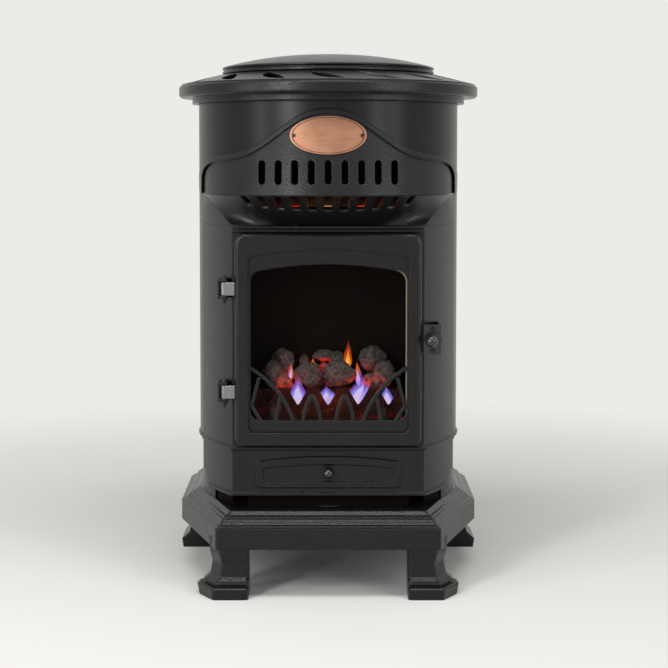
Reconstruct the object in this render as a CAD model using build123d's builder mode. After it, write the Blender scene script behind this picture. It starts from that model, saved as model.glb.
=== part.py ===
import os
from math import asin, atan2, cos, degrees, pi, radians, sin, sqrt

from build123d import *

# Portable gas stove heater: a round steel cabinet on a cast base, with a cast front, a glazed
# door, a slotted hood, a pierced top ring and a hinged lid over the controls.
# Millimetres. X is to the right seen from the front, the front faces -Y, Z is up.
# The origin is on the floor, on the axis of the round cabinet.

os.makedirs("parts", exist_ok=True)

# Clearances
seat_gap = 0.3          # between pieces that only rest on or beside each other
running_gap = 0.05      # radial, of a pin or spindle in its bore
press_gap = 0.02        # radial, of a pin held fast in its ears
slide_gap = 0.25        # radial, of a push button in its bezel
stack_gap = 0.04        # between the layers clamped into the door
lap = 1.0               # how far a cutting tool reaches past what it cuts

# Base casting
skirt_bottom = 72.0
base_height = 50.0
base_top = skirt_bottom + base_height
base_front_half = 160.0
base_front_y = -207.0
base_widest_x = 226.0
base_widest_y = -13.0
base_side_end_y = 165.0
base_rear_half = 165.0
base_rear_y = 234.0
base_wall = 6.0
base_top_plate = 5.0
base_hole_radius = 150.0
base_corner = 5.0
top_inset = 27.0        # how far the top moulding steps in from the skirt

# Legs, given for the right hand side
leg_inner_x = 114.0
leg_outer_x = base_front_half + 10.0
foot_outer_x = leg_outer_x + 19.0
foot_height = 17.0
leg_front_y = base_front_y + 1.0
leg_depth = 50.0
leg_corner = 5.0
knee_lap = 14.0         # how far the legs run up into the skirt
rear_leg_front_y = 93.0
rear_leg_inner_x = 168.0
rear_leg_outer_x = base_widest_x - 5.0
rear_foot_outer_x = rear_leg_outer_x + 15.0
rear_foot_back_y = base_rear_y + 6.0
rear_foot_cut = 22.0

# Sheet steel cabinet, measured round its axis
jacket_radius = 197.0
drum_step = 4.0
drum_radius = jacket_radius - drum_step
sheet = 1.5
bead_proud = 2.5
bead_height = 6.0
bead_stop = 3.0         # from the rear door's edge to the end of the trim bead
drum_lap = 12.0         # how far the drum stands up inside the jacket
front_cut_half = jacket_radius - 29.0
front_reach = jacket_radius + 70.0
hood_cut_half = 118.0
rear_cut_half = 140.0

# Floor pan
pan_lip = 14.0
pan_gap = 1.0

# Cast front in plan: a flat face and two flanges that run back to the jacket
face_setback = 32.0
face_y = face_setback - jacket_radius
pan_front_y = face_y + 37.0
flange_y = -72.0
flange_proud = 3.38
flange_x = sqrt((jacket_radius + flange_proud) ** 2 - flange_y ** 2)
flange_bulge = 3.0
casting_wall = 5.0

# Door in the front view
door_half = 133.5
face_half = door_half + 4.5
panel_low = base_top + 19.0
panel_height = 66.5
panel_corner = 22.0
surround_low = panel_low + panel_height
door_low = surround_low + 7.0
sill_rail = 20.5
recess_low = door_low + sill_rail
recess_height = 253.0
recess_rise = 11.0
recess_side_top = recess_low + recess_height
recess_mid_top = recess_side_top + recess_rise
head_rail = 22.0
door_high = recess_mid_top + head_rail
door_mid_z = (door_low + door_high) / 2
recess_half = door_half - 18.5
recess_corner = 8.0
rebate_lap = 6.0
window_half = recess_half - 2.3
window_low = recess_low + 17.0
window_side_top = recess_side_top - 22.0
window_mid_top = window_side_top + 12.0
window_corner = 17.0
door_corner = 15.0
door_round = 6.0
fence_bar = 5.0

# Door in depth
door_thick = 16.0
door_gap = 2.0
door_back_y = face_y - door_gap
door_front_y = door_back_y - door_thick
recess_depth = 6.0
inset_thick = 3.5
gasket_thick = 2.2
glass_thick = 4.0
seal_width = 6.0
seal_inset = 3.2        # from the door's edge to the door rope
seal_groove = 4.5
rope_gap = 0.1
rope_show = 1.6         # how much of the rope shows beside the window
rope_drop = 8.0
clip_width = 9.0
clip_height = 16.0
clip_thick = 1.2
clip_corner = 2.0
clip_pitch = 81.0

# Surround: frames the fire's mouth and carries the door
surround_top = door_high + 10.0
mouth_half = door_half - 15.5
mouth_low = recess_low - 3.0
mouth_high = door_high - 16.0
mouth_corner = 10.0
moulding_proud = 2.5
moulding_height = 4.5
thin_bead = 4.0
bead_spacing = 5.2

# Trim bead between the drum and the jacket
bead_low = surround_low - 1.5
bead_high = bead_low + bead_height

# False drawer on the lower panel
drawer_half = 106.0
drawer_low = panel_low + 11.0
drawer_side_top = drawer_low + 39.0
drawer_mid_top = drawer_side_top + 8.0
drawer_border = 13.0
drawer_corner = 9.0
drawer_proud = 3.0
drawer_knob_z = drawer_low + 23.0
drawer_knob_radius = 7.6
knob_neck_radius = 3.2
knob_neck_length = 4.0
knob_foot_radius = 5.0
knob_foot_thick = 1.5

# Toe plate in the dark gap between the lower panel and the base
toe_setback = 16.0
toe_gap = 2.0

# Hood
grille_rise = 45.0
lip_z = surround_top + grille_rise
lip_radius = jacket_radius - 7.0
lip_centre_y = -50.0
hood_height = 122.6
crown_z = lip_z + hood_height
hood_wall = 4.0
hood_seat = 0.6         # how far the hood's upper edge stands off the jacket
hood_side_x = jacket_radius - 4.0
hood_cut_top = crown_z - 58.6
shoulder_drop = 97.0
bead_width = 7.0
hood_bead_proud = 3.0
vent_count = 9
vent_pitch = 23.3
vent_width = 9.5
vent_length = 34.0
vent_low = lip_z + 15.0
vent_high = vent_low + vent_length
grille_count = 11
grille_pitch = 24.2
grille_width = 11.5
grille_slot_start = 2.5     # from the lip to the near end of a slot
grille_slot_share = 0.50    # share of the grille's depth that a slot takes
grille_fan = 0.82           # how far the slots draw together towards the surround
grille_corner = 3.0
grille_wall = 5.0
grille_side_length = 14.0

# Oval plate on the hood
plate_width = 108.0
plate_height = 54.0
plate_z = lip_z + 84.0
plate_thick = 1.6
plate_gap = 0.1
plate_screw_x = 48.0
plate_screw_radius = 2.4
plate_hole_radius = 1.6
screw_dome = 1.1

# Door hinges
hinge_x = -door_half - 15.5
hinge_y = door_back_y - 7.0
hinge_pin_radius = 2.3
knuckle_radius = 4.6
strap_height = 18.5
strap_back = 1.5        # thickness of the strap behind the pin's middle
strap_levels = (door_low + 78.8, door_high - 79.4)
ear_height = 4.5
ear_gap = 0.4
ear_radius = knuckle_radius + 0.6
hinge_bar_gap = 6.4     # from the pin's middle to the bar of the bracket
hinge_bar_thick = 2.6
hinge_bar_half = 3.0
bracket_depth = 20.0
pin_head_radius = 3.8
pin_tail_radius = 1.7
pin_tail_length = 4.5

# Door latch
latch_x = door_half + 13.0
latch_z = door_mid_z + 1.25
bracket_half_height = 21.5
bracket_left = door_half + 3.0
bracket_right = bracket_left + 24.5
bracket_front_y = door_front_y + 5.0
bracket_wall = 3.0
latch_screw_offset = 15.6
latch_screw_right = 3.0
latch_screw_radius = 2.2
latch_screw_head = 3.6
latch_spindle_radius = 3.0
latch_collar = 2.0
cam_radius = 10.5
cam_offset = 4.8
cam_thick = 2.4
latch_knob_radius = 8.6

# Firebox and fire
box_half = mouth_half + 3.0
box_low = mouth_low - 8.0
box_high = mouth_high + 7.0
box_depth = 89.0
box_back_y = face_y + box_depth
box_wall = 2.0
box_slot_pitch = 40.0
box_slot_length = 44.0
box_slot_width = 16.0
shield_y = box_back_y + 5.0
shield_top = hood_cut_top + 5.0
batten = 10.0
tray_half = box_half - 9.0
tray_low = box_low + 6.0
tray_high = tray_low + 20.0
tray_front_y = face_y + 16.0
tray_back_y = box_back_y - 6.0
burner_radius = 7.5
burner_gap = 0.6
burner_y = face_y + 59.0
burner_z = (tray_low + tray_high) / 2
burner_stub = 14.0
port_count = 22
port_pitch = 9.0
port_radius = 1.6
pilot_x = 80.0
pilot_width = 8.0
pilot_thick = 2.4
pilot_height = 16.0
pilot_tip = 8.0
bed_half = tray_half - 4.0
bed_front_y = tray_front_y + 3.0
bed_front_depth = 16.0
bed_front_top = tray_high + 43.0
bed_shelf_top = bed_front_top - 5.0
notch_count = 5
notch_pitch = 44.0
notch_half = 15.0
notch_bottom = bed_front_top - 25.0
bed_slot_length = 26.0
bed_slot_width = 8.0
coal_ripple = 0.10

# Louvres behind the hood
louvre_count = 4
louvre_pitch = 17.0
louvre_first_z = surround_top
louvre_width = 24.0
louvre_tilt = 30.0
louvre_half = box_half - 9.0
louvre_y = face_y + 21.0

# Top ring and lid
jacket_top = crown_z + 10.9
step_radius = jacket_radius + 10.0
rim_overhang = 20.0
rim_radius = step_radius + rim_overhang
rim_step = 9.2
rim_height = 18.3
rim_low = jacket_top + rim_step
rim_high = rim_low + rim_height
rim_inner = jacket_radius - 7.0
rim_ledge = 14.0
rim_round = 3.0
lid_radius = rim_inner - 29.0
cone_outer = rim_radius - 4.0
cone_inner = lid_radius - 9.0
cone_height = 16.0
cone_thick = 4.0
cone_edge = 1.5
leaf_border = 7.0
leaf_length = 52.0
leaf_count = 16
leaf_first_angle = 14.8
lid_edge_height = 11.0
lid_rise = 18.0
lid_flat = 42.0
lid_wall = 4.0
lid_rim = 8.0
lid_hinge_y = lid_radius + 8.0
lid_hinge_pin_radius = 2.5
lid_lug_half = 26.0
lid_lug_width = 10.0
lid_lug_radius = 4.6
lid_ear_width = 9.0
lid_ear_gap = 1.0
scoop_half = 35.0
scoop_depth = 9.0
scoop_lip = 3.2

# Controls under the lid
tray_radius = cone_inner - 2.0
tray_floor_z = rim_high - 34.0
tray_flange = lid_radius - 4.0
flange_thick = 1.2
knob_x = -46.0
knob_y = -42.0
knob_radius = 22.0
knob_skirt = 6.0
knob_height = 24.0
knob_travel = 4.0
flute_radius = 2.2
pointer_width = 3.0
spindle_radius = 4.0
spindle_reach = 22.0
igniter_x = 46.0
igniter_y = -42.0
button_radius = 9.0
button_height = 9.0
button_travel = 5.0
button_stem = 4.0
stem_radius = button_radius - 2.0
button_round = 2.0
bezel_radius = 15.0
bezel_height = 4.0
igniter_depth = 38.0
valve_half = 21.0
valve_height = 36.0
valve_boss_radius = 12.0
valve_boss = 3.0
valve_corner = 4.0
inlet_nut = 8.0
spigot_radius = 4.2
spigot_length = 24.0
pipe_radius = 4.0
pipe_bend = 7.0
pipe_drop = 20.0
pipe_x = -box_half - 25.0
pipe_y = box_back_y - 12.0

# Rear door
rear_cut_low = base_top + 15.0
rear_cut_high = jacket_top - 12.5
rear_lap = 6.0
rear_door_half = rear_cut_half + 12.0
rear_door_low = rear_cut_low - 8.0
rear_door_high = rear_cut_high + rear_lap
rear_skin = 1.5
rear_gap = 0.8
rear_slot_pitch = 18.0
rear_slot_length = 56.0
rear_slot_width = 6.0
rear_slot_inset = 75.0
rear_hinge_levels = (rear_door_low + 81.0, rear_door_high - 84.0)
rear_hinge_out = 6.5
rear_knuckle_radius = 4.0
rear_pin_radius = 2.0
rear_knuckle_height = 24.0
rear_ear_height = 12.0
rear_pin_overhang = 14.0
catch_z = (rear_door_low + rear_door_high) / 2
catch_knob_radius = 14.0
catch_plate_thick = 3.0
catch_grip_height = 9.0
catch_grip_width = 7.0
catch_gap = 0.6
catch_spindle_radius = 4.0
catch_tongue_length = 28.0
catch_tongue_width = 10.0
catch_tongue_thick = 2.5
catch_tongue_gap = 3.0
catch_corner = 3.0
catch_inset = 12.0      # from the edge of the rear opening to the catch


def arched_face(half_width, low, side_top, mid_top, corner):
    """A window shape: straight sides and bottom, an arched top, rounded corners."""
    with BuildSketch() as window:
        with BuildLine():
            Polyline((half_width, side_top), (half_width, low), (-half_width, low),
                     (-half_width, side_top))
            ThreePointArc((-half_width, side_top), (0, mid_top), (half_width, side_top))
        make_face()
        fillet(window.vertices(), corner)
    return window.sketch


def front_plane(y):
    """A drawing plane that faces the viewer, at depth y, with Z up."""
    return Plane(origin=(0, y, 0), x_dir=(1, 0, 0), z_dir=(0, -1, 0))


def base_plan(inset):
    """The outline of the base seen from above, drawn in by inset."""
    with BuildSketch() as plan:
        with BuildLine():
            Polyline((base_front_half, base_front_y), (base_widest_x, base_widest_y),
                     (base_widest_x, base_side_end_y), (base_rear_half, base_rear_y),
                     (-base_rear_half, base_rear_y), (-base_widest_x, base_side_end_y),
                     (-base_widest_x, base_widest_y), (-base_front_half, base_front_y),
                     close=True)
        make_face()
        offset(amount=-inset, kind=Kind.INTERSECTION, mode=Mode.REPLACE)
        fillet(plan.vertices(), base_corner)
    return plan.sketch


def ring(outer, inner, low, high):
    """A plain round sleeve standing on the cabinet's axis."""
    with BuildPart() as sleeve:
        with BuildSketch(Plane.XY.offset(low)):
            Circle(outer)
            Circle(inner, mode=Mode.SUBTRACT)
        extrude(amount=high - low)
    return sleeve.part


def slab(half_width, y_low, y_high, low, high):
    """A block centred on the middle plane."""
    with BuildPart() as block:
        with BuildSketch(Plane.XY.offset(low)):
            with Locations((0, (y_low + y_high) / 2)):
                Rectangle(2 * half_width, y_high - y_low)
        extrude(amount=high - low)
    return block.part


# Base: moulded skirt with a thin top plate, and four legs cast with it
moulding_steps = (
    (skirt_bottom, 0.0),
    (base_top - 20.0, 0.0),
    (base_top - 19.0, 4.0),
    (base_top - 17.0, 4.0),
    (base_top - 16.0, 8.0),
    (base_top - 9.5, 13.0),
    (base_top - 8.5, 17.0),
    (base_top - 6.5, 17.0),
    (base_top - 5.5, 21.0),
    (base_top, top_inset),
)


def leg_plan(inner_x, outer_x, front_y, back_y, cut):
    """One leg in plan, with its outer front corner cut off along the slanting side."""
    with BuildSketch() as plan:
        with BuildLine():
            Polyline((inner_x, front_y), (outer_x - cut, front_y), (outer_x, front_y + 1.6 * cut),
                     (outer_x, back_y), (inner_x, back_y), close=True)
        make_face()
        fillet(plan.vertices(), leg_corner)
    return plan.sketch


knee_z = skirt_bottom + knee_lap
leg_back_y = leg_front_y + leg_depth
front_leg_steps = (
    (0.0, foot_outer_x - 3.0, leg_front_y - 4.0, 22.0),
    (foot_height - 2.0, foot_outer_x, leg_front_y - 6.0, 24.0),
    (foot_height, foot_outer_x - 3.0, leg_front_y - 4.0, 22.0),
    (foot_height + 1.5, leg_outer_x + 8.0, leg_front_y, 20.0),
    (foot_height + 5.0, leg_outer_x + 10.0, leg_front_y - 3.0, 20.0),
    (foot_height + 10.0, leg_outer_x + 5.0, leg_front_y, 18.0),
    (foot_height + 14.0, leg_outer_x, leg_front_y + 5.0, 16.0),
    (foot_height + 32.0, leg_outer_x - 3.0, leg_front_y + 6.0, 16.0),
    (skirt_bottom - 8.0, leg_outer_x, leg_front_y + 1.0, 16.0),
    (knee_z, leg_outer_x + 2.0, leg_front_y + 1.0, 16.0),
)

with BuildPart() as base_casting:
    for level, inset in moulding_steps:
        with BuildSketch(Plane.XY.offset(level)):
            add(base_plan(inset))
    loft(ruled=True)
    with BuildSketch(Plane.XY.offset(skirt_bottom)):
        add(base_plan(top_inset + base_wall))
    extrude(amount=base_top - base_top_plate - skirt_bottom, mode=Mode.SUBTRACT)
    with BuildSketch(Plane.XY.offset(skirt_bottom)):
        add(base_plan(base_wall))
    extrude(amount=base_top - 24.0 - skirt_bottom, mode=Mode.SUBTRACT)
    with BuildSketch(Plane.XY.offset(skirt_bottom)):
        Circle(base_hole_radius)
    extrude(amount=base_top - skirt_bottom, mode=Mode.SUBTRACT)
    with BuildPart(mode=Mode.PRIVATE) as front_leg:
        for level, outer, front, cut in front_leg_steps:
            with BuildSketch(Plane.XY.offset(level)):
                add(leg_plan(leg_inner_x, outer, front, leg_back_y, cut))
        loft(ruled=True)
    with BuildPart(mode=Mode.PRIVATE) as rear_leg:
        for level, outer in ((0.0, rear_foot_outer_x - 2.0), (foot_height - 3.0, rear_foot_outer_x),
                             (foot_height + 8.0, rear_leg_outer_x + 3.0),
                             (foot_height + 20.0, rear_leg_outer_x),
                             (knee_z, rear_leg_outer_x)):
            with BuildSketch(Plane.XY.offset(level)):
                with BuildLine():
                    Polyline((rear_leg_inner_x, rear_leg_front_y), (outer, rear_leg_front_y),
                             (outer, base_side_end_y), (outer - rear_foot_cut, rear_foot_back_y),
                             (rear_leg_inner_x, rear_foot_back_y), close=True)
                make_face()
        loft(ruled=True)
    add(front_leg.part)
    add(mirror(front_leg.part, about=Plane.YZ, mode=Mode.PRIVATE))
    add(rear_leg.part)
    add(mirror(rear_leg.part, about=Plane.YZ, mode=Mode.PRIVATE))
base_casting.part.label = "base_casting"

# Floor pan: the bottle stands on it, inside the drum
pan_radius = drum_radius - sheet - pan_gap
with BuildPart() as floor_pan:
    with BuildSketch(Plane.XY.offset(base_top)):
        Circle(pan_radius)
    extrude(amount=pan_lip)
    with BuildSketch(Plane.XY.offset(base_top + sheet)):
        Circle(pan_radius - sheet)
    extrude(amount=pan_lip - sheet, mode=Mode.SUBTRACT)
    add(slab(pan_radius, -pan_radius, pan_front_y, base_top, base_top + pan_lip),
        mode=Mode.SUBTRACT)
    add(slab(rear_cut_half, 0, pan_radius + lap, base_top + sheet, base_top + pan_lip),
        mode=Mode.SUBTRACT)
floor_pan.part.label = "floor_pan"

# Lower drum, trim bead and jacket: rolled sheets, cut away at the front and the rear
with BuildPart() as lower_drum:
    add(ring(drum_radius, drum_radius - sheet, base_top, bead_high + drum_lap))
    add(slab(front_cut_half, -front_reach, 0, base_top, bead_high + drum_lap),
        mode=Mode.SUBTRACT)
    add(slab(rear_cut_half, 0, front_reach, rear_cut_low, bead_high + drum_lap),
        mode=Mode.SUBTRACT)
lower_drum.part.label = "lower_drum"

with BuildPart() as trim_bead:
    add(ring(jacket_radius + bead_proud, drum_radius + stack_gap, bead_low, bead_high))
    outer_edges = trim_bead.edges().filter_by(GeomType.CIRCLE).group_by(SortBy.RADIUS)[-1]
    fillet(outer_edges, 0.45 * bead_height)
    add(slab(front_reach, -front_reach, flange_y + lap, bead_low, bead_high), mode=Mode.SUBTRACT)
    add(slab(rear_door_half + bead_stop, 0, front_reach, bead_low, bead_high), mode=Mode.SUBTRACT)
trim_bead.part.label = "trim_bead"

with BuildPart() as jacket:
    add(ring(jacket_radius, jacket_radius - sheet, bead_high, jacket_top))
    add(slab(front_cut_half, -front_reach, 0, bead_high, lip_z), mode=Mode.SUBTRACT)
    add(slab(hood_cut_half, -front_reach, 0, bead_high, hood_cut_top), mode=Mode.SUBTRACT)
    add(slab(rear_cut_half, 0, front_reach, bead_high, rear_cut_high), mode=Mode.SUBTRACT)
jacket.part.label = "jacket"


def front_plan(grow, wall=None):
    """Plan of the cast front: flat face, bulged side flanges that run back to the jacket."""
    middle_x = (face_half + flange_x) / 2 + 0.9 * flange_bulge + grow
    middle_y = (face_y + flange_y) / 2 - 0.5 * flange_bulge - 0.5 * grow
    with BuildSketch() as plan:
        with BuildLine():
            Line((-face_half - grow, face_y - grow), (face_half + grow, face_y - grow))
            ThreePointArc((face_half + grow, face_y - grow), (middle_x, middle_y),
                          (flange_x + grow, flange_y))
            Line((flange_x + grow, flange_y), (-flange_x - grow, flange_y))
            ThreePointArc((-flange_x - grow, flange_y), (-middle_x, middle_y),
                          (-face_half - grow, face_y - grow))
        make_face()
        if wall is not None:
            offset(amount=-wall, kind=Kind.INTERSECTION, mode=Mode.REPLACE)
    return plan.sketch


def cast_front(low, high, beads):
    """A stretch of the cast front: a wall open at the back, fitted round the jacket."""
    with BuildPart() as front:
        with BuildSketch(Plane.XY.offset(low)):
            add(front_plan(0.0))
        extrude(amount=high - low)
        for bead_from, bead_to in beads:
            with BuildSketch(Plane.XY.offset(bead_from)):
                add(front_plan(moulding_proud))
            extrude(amount=bead_to - bead_from)
        with BuildSketch(Plane.XY.offset(low)):
            add(front_plan(0.0, casting_wall))
            with Locations((0, flange_y)):
                Rectangle(2 * (flange_x - 2.4 * casting_wall), 4 * casting_wall)
        extrude(amount=high - low, mode=Mode.SUBTRACT)
        with BuildSketch(Plane.XY.offset(low)):
            Circle(jacket_radius + seat_gap)
            Rectangle(2 * (front_cut_half - seat_gap), 2 * front_reach, mode=Mode.SUBTRACT)
        extrude(amount=high - low, mode=Mode.SUBTRACT)
    return front.part


# Surround: frames the fire's mouth and carries the door
with BuildPart() as surround_casting:
    add(cast_front(surround_low, surround_top, ((surround_low, surround_low + moulding_height),)))
    for bead_from in (surround_top - thin_bead, surround_top - thin_bead - bead_spacing):
        add(slab(face_half, face_y - moulding_proud, face_y, bead_from, bead_from + thin_bead))
    with BuildSketch(front_plane(face_y - 2 * moulding_proud)):
        with Locations((0, (mouth_low + mouth_high) / 2)):
            RectangleRounded(2 * mouth_half, mouth_high - mouth_low, mouth_corner)
    extrude(amount=-6 * casting_wall, mode=Mode.SUBTRACT)
surround_casting.part.label = "surround_casting"

# Lower panel: carries the relief of a drawer front
with BuildPart() as lower_panel:
    add(cast_front(panel_low, surround_low - seat_gap, ((panel_low, panel_low + moulding_height),)))
    with BuildSketch(Plane.YZ.offset(-front_reach)):
        with BuildLine():
            Polyline((flange_y, panel_low), (flange_y, panel_low + panel_corner))
            RadiusArc((flange_y, panel_low + panel_corner), (flange_y - panel_corner, panel_low),
                      -panel_corner)
            Line((flange_y - panel_corner, panel_low), (flange_y, panel_low))
        make_face()
    extrude(amount=2 * front_reach, mode=Mode.SUBTRACT)
    with BuildSketch(front_plane(face_y)):
        add(arched_face(drawer_half, drawer_low, drawer_side_top, drawer_mid_top, drawer_corner))
        add(arched_face(drawer_half - drawer_border, drawer_low + 0.8 * drawer_border,
                        drawer_side_top - 0.8 * drawer_border, drawer_mid_top - drawer_border,
                        drawer_corner / 2),
            mode=Mode.SUBTRACT)
    extrude(amount=drawer_proud, taper=20)
lower_panel.part.label = "lower_panel"


def ball_knob(x, seat_y, z, ball_radius, foot_radius):
    """A turned knob on a waisted neck, pointing forward from its seat."""
    ball_y = seat_y - knob_neck_length - sqrt(ball_radius ** 2 - knob_neck_radius ** 2)
    with BuildPart() as knob:
        with BuildSketch(Plane.YZ.offset(x)):
            with BuildLine():
                Polyline((seat_y, z), (seat_y, z + foot_radius),
                         (seat_y - knob_foot_thick, z + foot_radius - knob_foot_thick / 3),
                         (seat_y - knob_neck_length, z + knob_neck_radius))
                ThreePointArc((seat_y - knob_neck_length, z + knob_neck_radius),
                              (ball_y, z + ball_radius), (ball_y - ball_radius, z))
                Line((ball_y - ball_radius, z), (seat_y, z))
            make_face()
        revolve(axis=Axis((x, 0, z), (0, 1, 0)))
    return knob.part


with BuildPart() as drawer_knob:
    add(ball_knob(0.0, face_y, drawer_knob_z, drawer_knob_radius,
                  knob_foot_radius))
drawer_knob.part.label = "drawer_knob"

# Toe plate: dark sheet set back in the gap over the base
toe_y = face_y + toe_setback
toe_half = sqrt((drum_radius - sheet - toe_gap) ** 2 - toe_y ** 2)
with BuildPart() as toe_plate:
    add(slab(toe_half, toe_y, toe_y + sheet, base_top, surround_low - toe_gap))
    add(slab(toe_half, toe_y, pan_front_y - lap, base_top, base_top + sheet))
toe_plate.part.label = "toe_plate"


# Hood: a drum that swells forward to its lip, cut to an ogee outline and hollowed
ogee_knots = (
    (0.0, 0.0, 0.0, -1.0),
    (50.0, -15.6, -0.55, -0.84),
    (101.0, -50.6, -0.48, -0.88),
    (163.0, -68.4, -0.10, -1.0),
)


def ogee_face(inset):
    """Front outline of the hood: a crown that falls in an S to square shoulders."""
    knots = [(x + nx * inset, crown_z + dz + nz * inset) for x, dz, nx, nz in ogee_knots]
    side_x = hood_side_x - inset
    shoulder_z = crown_z - shoulder_drop - 0.4 * inset
    low = lip_z - lap
    with BuildSketch() as outline:
        with BuildLine():
            for side in (1, -1):
                Spline(*[(side * x, z) for x, z in knots], tangents=((side, 0), (side, -0.12)))
                Spline((side * knots[-1][0], knots[-1][1]), (side * side_x, shoulder_z),
                       tangents=((side, -0.12), (side * 0.1, -1)))
                Line((side * side_x, shoulder_z), (side * side_x, low))
            Line((-side_x, low), (side_x, low))
        make_face()
    return outline.sketch


def hood_drum(grow):
    """Solid drum whose front swells from the jacket's circle down to the hood's lip."""
    with BuildPart() as drum:
        with BuildSketch(Plane.XY.offset(lip_z)):
            with Locations((0, lip_centre_y)):
                Circle(lip_radius + grow)
        with BuildSketch(Plane.XY.offset(crown_z)):
            Circle(jacket_radius + hood_seat + grow)
        loft(ruled=True)
    return drum.part


def through_front(face):
    """Extrude a face drawn in the front view from the middle plane out to the front."""
    with BuildPart() as bar:
        with BuildSketch(front_plane(0)):
            add(face)
        extrude(amount=front_reach)
    return bar.part


with BuildPart() as hood_casting:
    add(hood_drum(0.0))
    add(through_front(ogee_face(0.0)), mode=Mode.INTERSECT)
    with BuildPart(mode=Mode.PRIVATE) as edge_bead:
        add(hood_drum(hood_bead_proud))
        add(through_front(ogee_face(0.0)), mode=Mode.INTERSECT)
        add(through_front(ogee_face(bead_width)), mode=Mode.SUBTRACT)
    add(edge_bead.part)
    with BuildPart(mode=Mode.PRIVATE) as hollow:
        add(hood_drum(-hood_wall))
        add(through_front(ogee_face(bead_width)), mode=Mode.INTERSECT)
    add(hollow.part, mode=Mode.SUBTRACT)
    with BuildSketch(Plane.XY.offset(lip_z - bead_width)):
        Circle(jacket_radius + seat_gap)
    extrude(amount=hood_height + 2 * bead_width, mode=Mode.SUBTRACT)
    with BuildSketch(front_plane(0)):
        with Locations((0, (vent_low + vent_high) / 2)):
            with GridLocations(vent_pitch, 0, vent_count, 1):
                SlotOverall(vent_high - vent_low, vent_width, rotation=90)
    extrude(amount=front_reach, mode=Mode.SUBTRACT)
hood_casting.part.label = "hood_casting"


# Sloping grille under the hood, from the lip back to the top bar of the surround
def grille_hull(shrink):
    """Loft from the hood's round lip down to the surround's straight bar and its flanges."""
    radius = lip_radius - hood_wall - seat_gap - shrink
    corner_y = flange_y - grille_side_length
    back_x = sqrt(radius ** 2 - (flange_y - lip_centre_y) ** 2)
    corner_x = sqrt(radius ** 2 - (corner_y - lip_centre_y) ** 2)
    middle_x = (face_half + flange_x) / 2 + 0.9 * flange_bulge - shrink
    middle_y = (face_y + flange_y) / 2 - 0.5 * flange_bulge + 0.5 * shrink
    bar_x = face_half - 0.6 * shrink
    bar_y = face_y + shrink
    with BuildPart() as hull:
        with BuildSketch(Plane.XY.offset(lip_z - seat_gap + 0.3 * shrink)):
            with BuildLine():
                Polyline((-corner_x, corner_y), (-back_x, flange_y), (back_x, flange_y),
                         (corner_x, corner_y))
                ThreePointArc((corner_x, corner_y), (0, lip_centre_y - radius),
                              (-corner_x, corner_y))
            make_face()
        with BuildSketch(Plane.XY.offset(surround_top + seat_gap - 0.3 * shrink)):
            with BuildLine():
                Line((-flange_x + shrink, flange_y), (flange_x - shrink, flange_y))
                ThreePointArc((flange_x - shrink, flange_y), (middle_x, middle_y), (bar_x, bar_y))
                Line((bar_x, bar_y), (-bar_x, bar_y))
                ThreePointArc((-bar_x, bar_y), (-middle_x, middle_y), (-flange_x + shrink, flange_y))
            make_face()
        loft(ruled=True)
    return hull.part


with BuildPart() as hood_grille:
    add(grille_hull(0.0))
    with BuildPart(mode=Mode.PRIVATE) as inside:
        add(grille_hull(grille_wall))
    add(inside.part, mode=Mode.SUBTRACT)
    with BuildSketch(Plane.XY.offset(surround_top)):
        Circle(jacket_radius + seat_gap)
        Rectangle(2 * (front_cut_half - seat_gap), 2 * front_reach, mode=Mode.SUBTRACT)
    extrude(amount=grille_rise, mode=Mode.SUBTRACT)
    for index in range(grille_count):
        slot_x = (index - (grille_count - 1) / 2) * grille_pitch
        lip_y = lip_centre_y - sqrt((lip_radius - hood_wall) ** 2 - slot_x ** 2)
        near = Vector(slot_x, lip_y + grille_slot_start)
        far = near + (Vector(grille_fan * slot_x, face_y) - near) * grille_slot_share
        middle = (near + far) / 2
        run = far - near
        with BuildSketch(Plane.XY.offset(surround_top - lap)):
            with Locations(Location((middle.X, middle.Y), degrees(atan2(run.Y, run.X)))):
                RectangleRounded(run.length, grille_width, grille_corner)
        extrude(amount=grille_rise, mode=Mode.SUBTRACT)
hood_grille.part.label = "hood_grille"

# Oval plate, bent to the hood, and its two screws
with BuildPart() as name_plate:
    add(hood_drum(plate_thick + plate_gap))
    add(hood_drum(plate_gap), mode=Mode.SUBTRACT)
    with BuildSketch(front_plane(0)) as oval:
        with Locations((0, plate_z)):
            Ellipse(plate_width / 2, plate_height / 2)
        with Locations((plate_screw_x, plate_z), (-plate_screw_x, plate_z)):
            Circle(plate_hole_radius, mode=Mode.SUBTRACT)
    extrude(amount=front_reach, mode=Mode.INTERSECT)
name_plate.part.label = "name_plate"

with BuildPart() as plate_screws:
    with BuildSketch(front_plane(0)):
        with Locations((plate_screw_x, plate_z), (-plate_screw_x, plate_z)):
            Circle(plate_screw_radius)
    extrude(amount=front_reach)
    add(hood_drum(plate_thick + plate_gap + screw_dome), mode=Mode.INTERSECT)
    add(hood_drum(plate_thick + plate_gap), mode=Mode.SUBTRACT)
plate_screws.part.label = "plate_screws"

# Door frame with its hinge straps
recess_back_y = door_front_y + recess_depth


def rebate_face(inset):
    """The pocket behind the door's recess, drawn in by inset."""
    return arched_face(recess_half + rebate_lap - inset, recess_low - rebate_lap + inset,
                       recess_side_top + rebate_lap - inset, recess_mid_top + rebate_lap - inset,
                       recess_corner + rebate_lap / 3 - inset)


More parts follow.
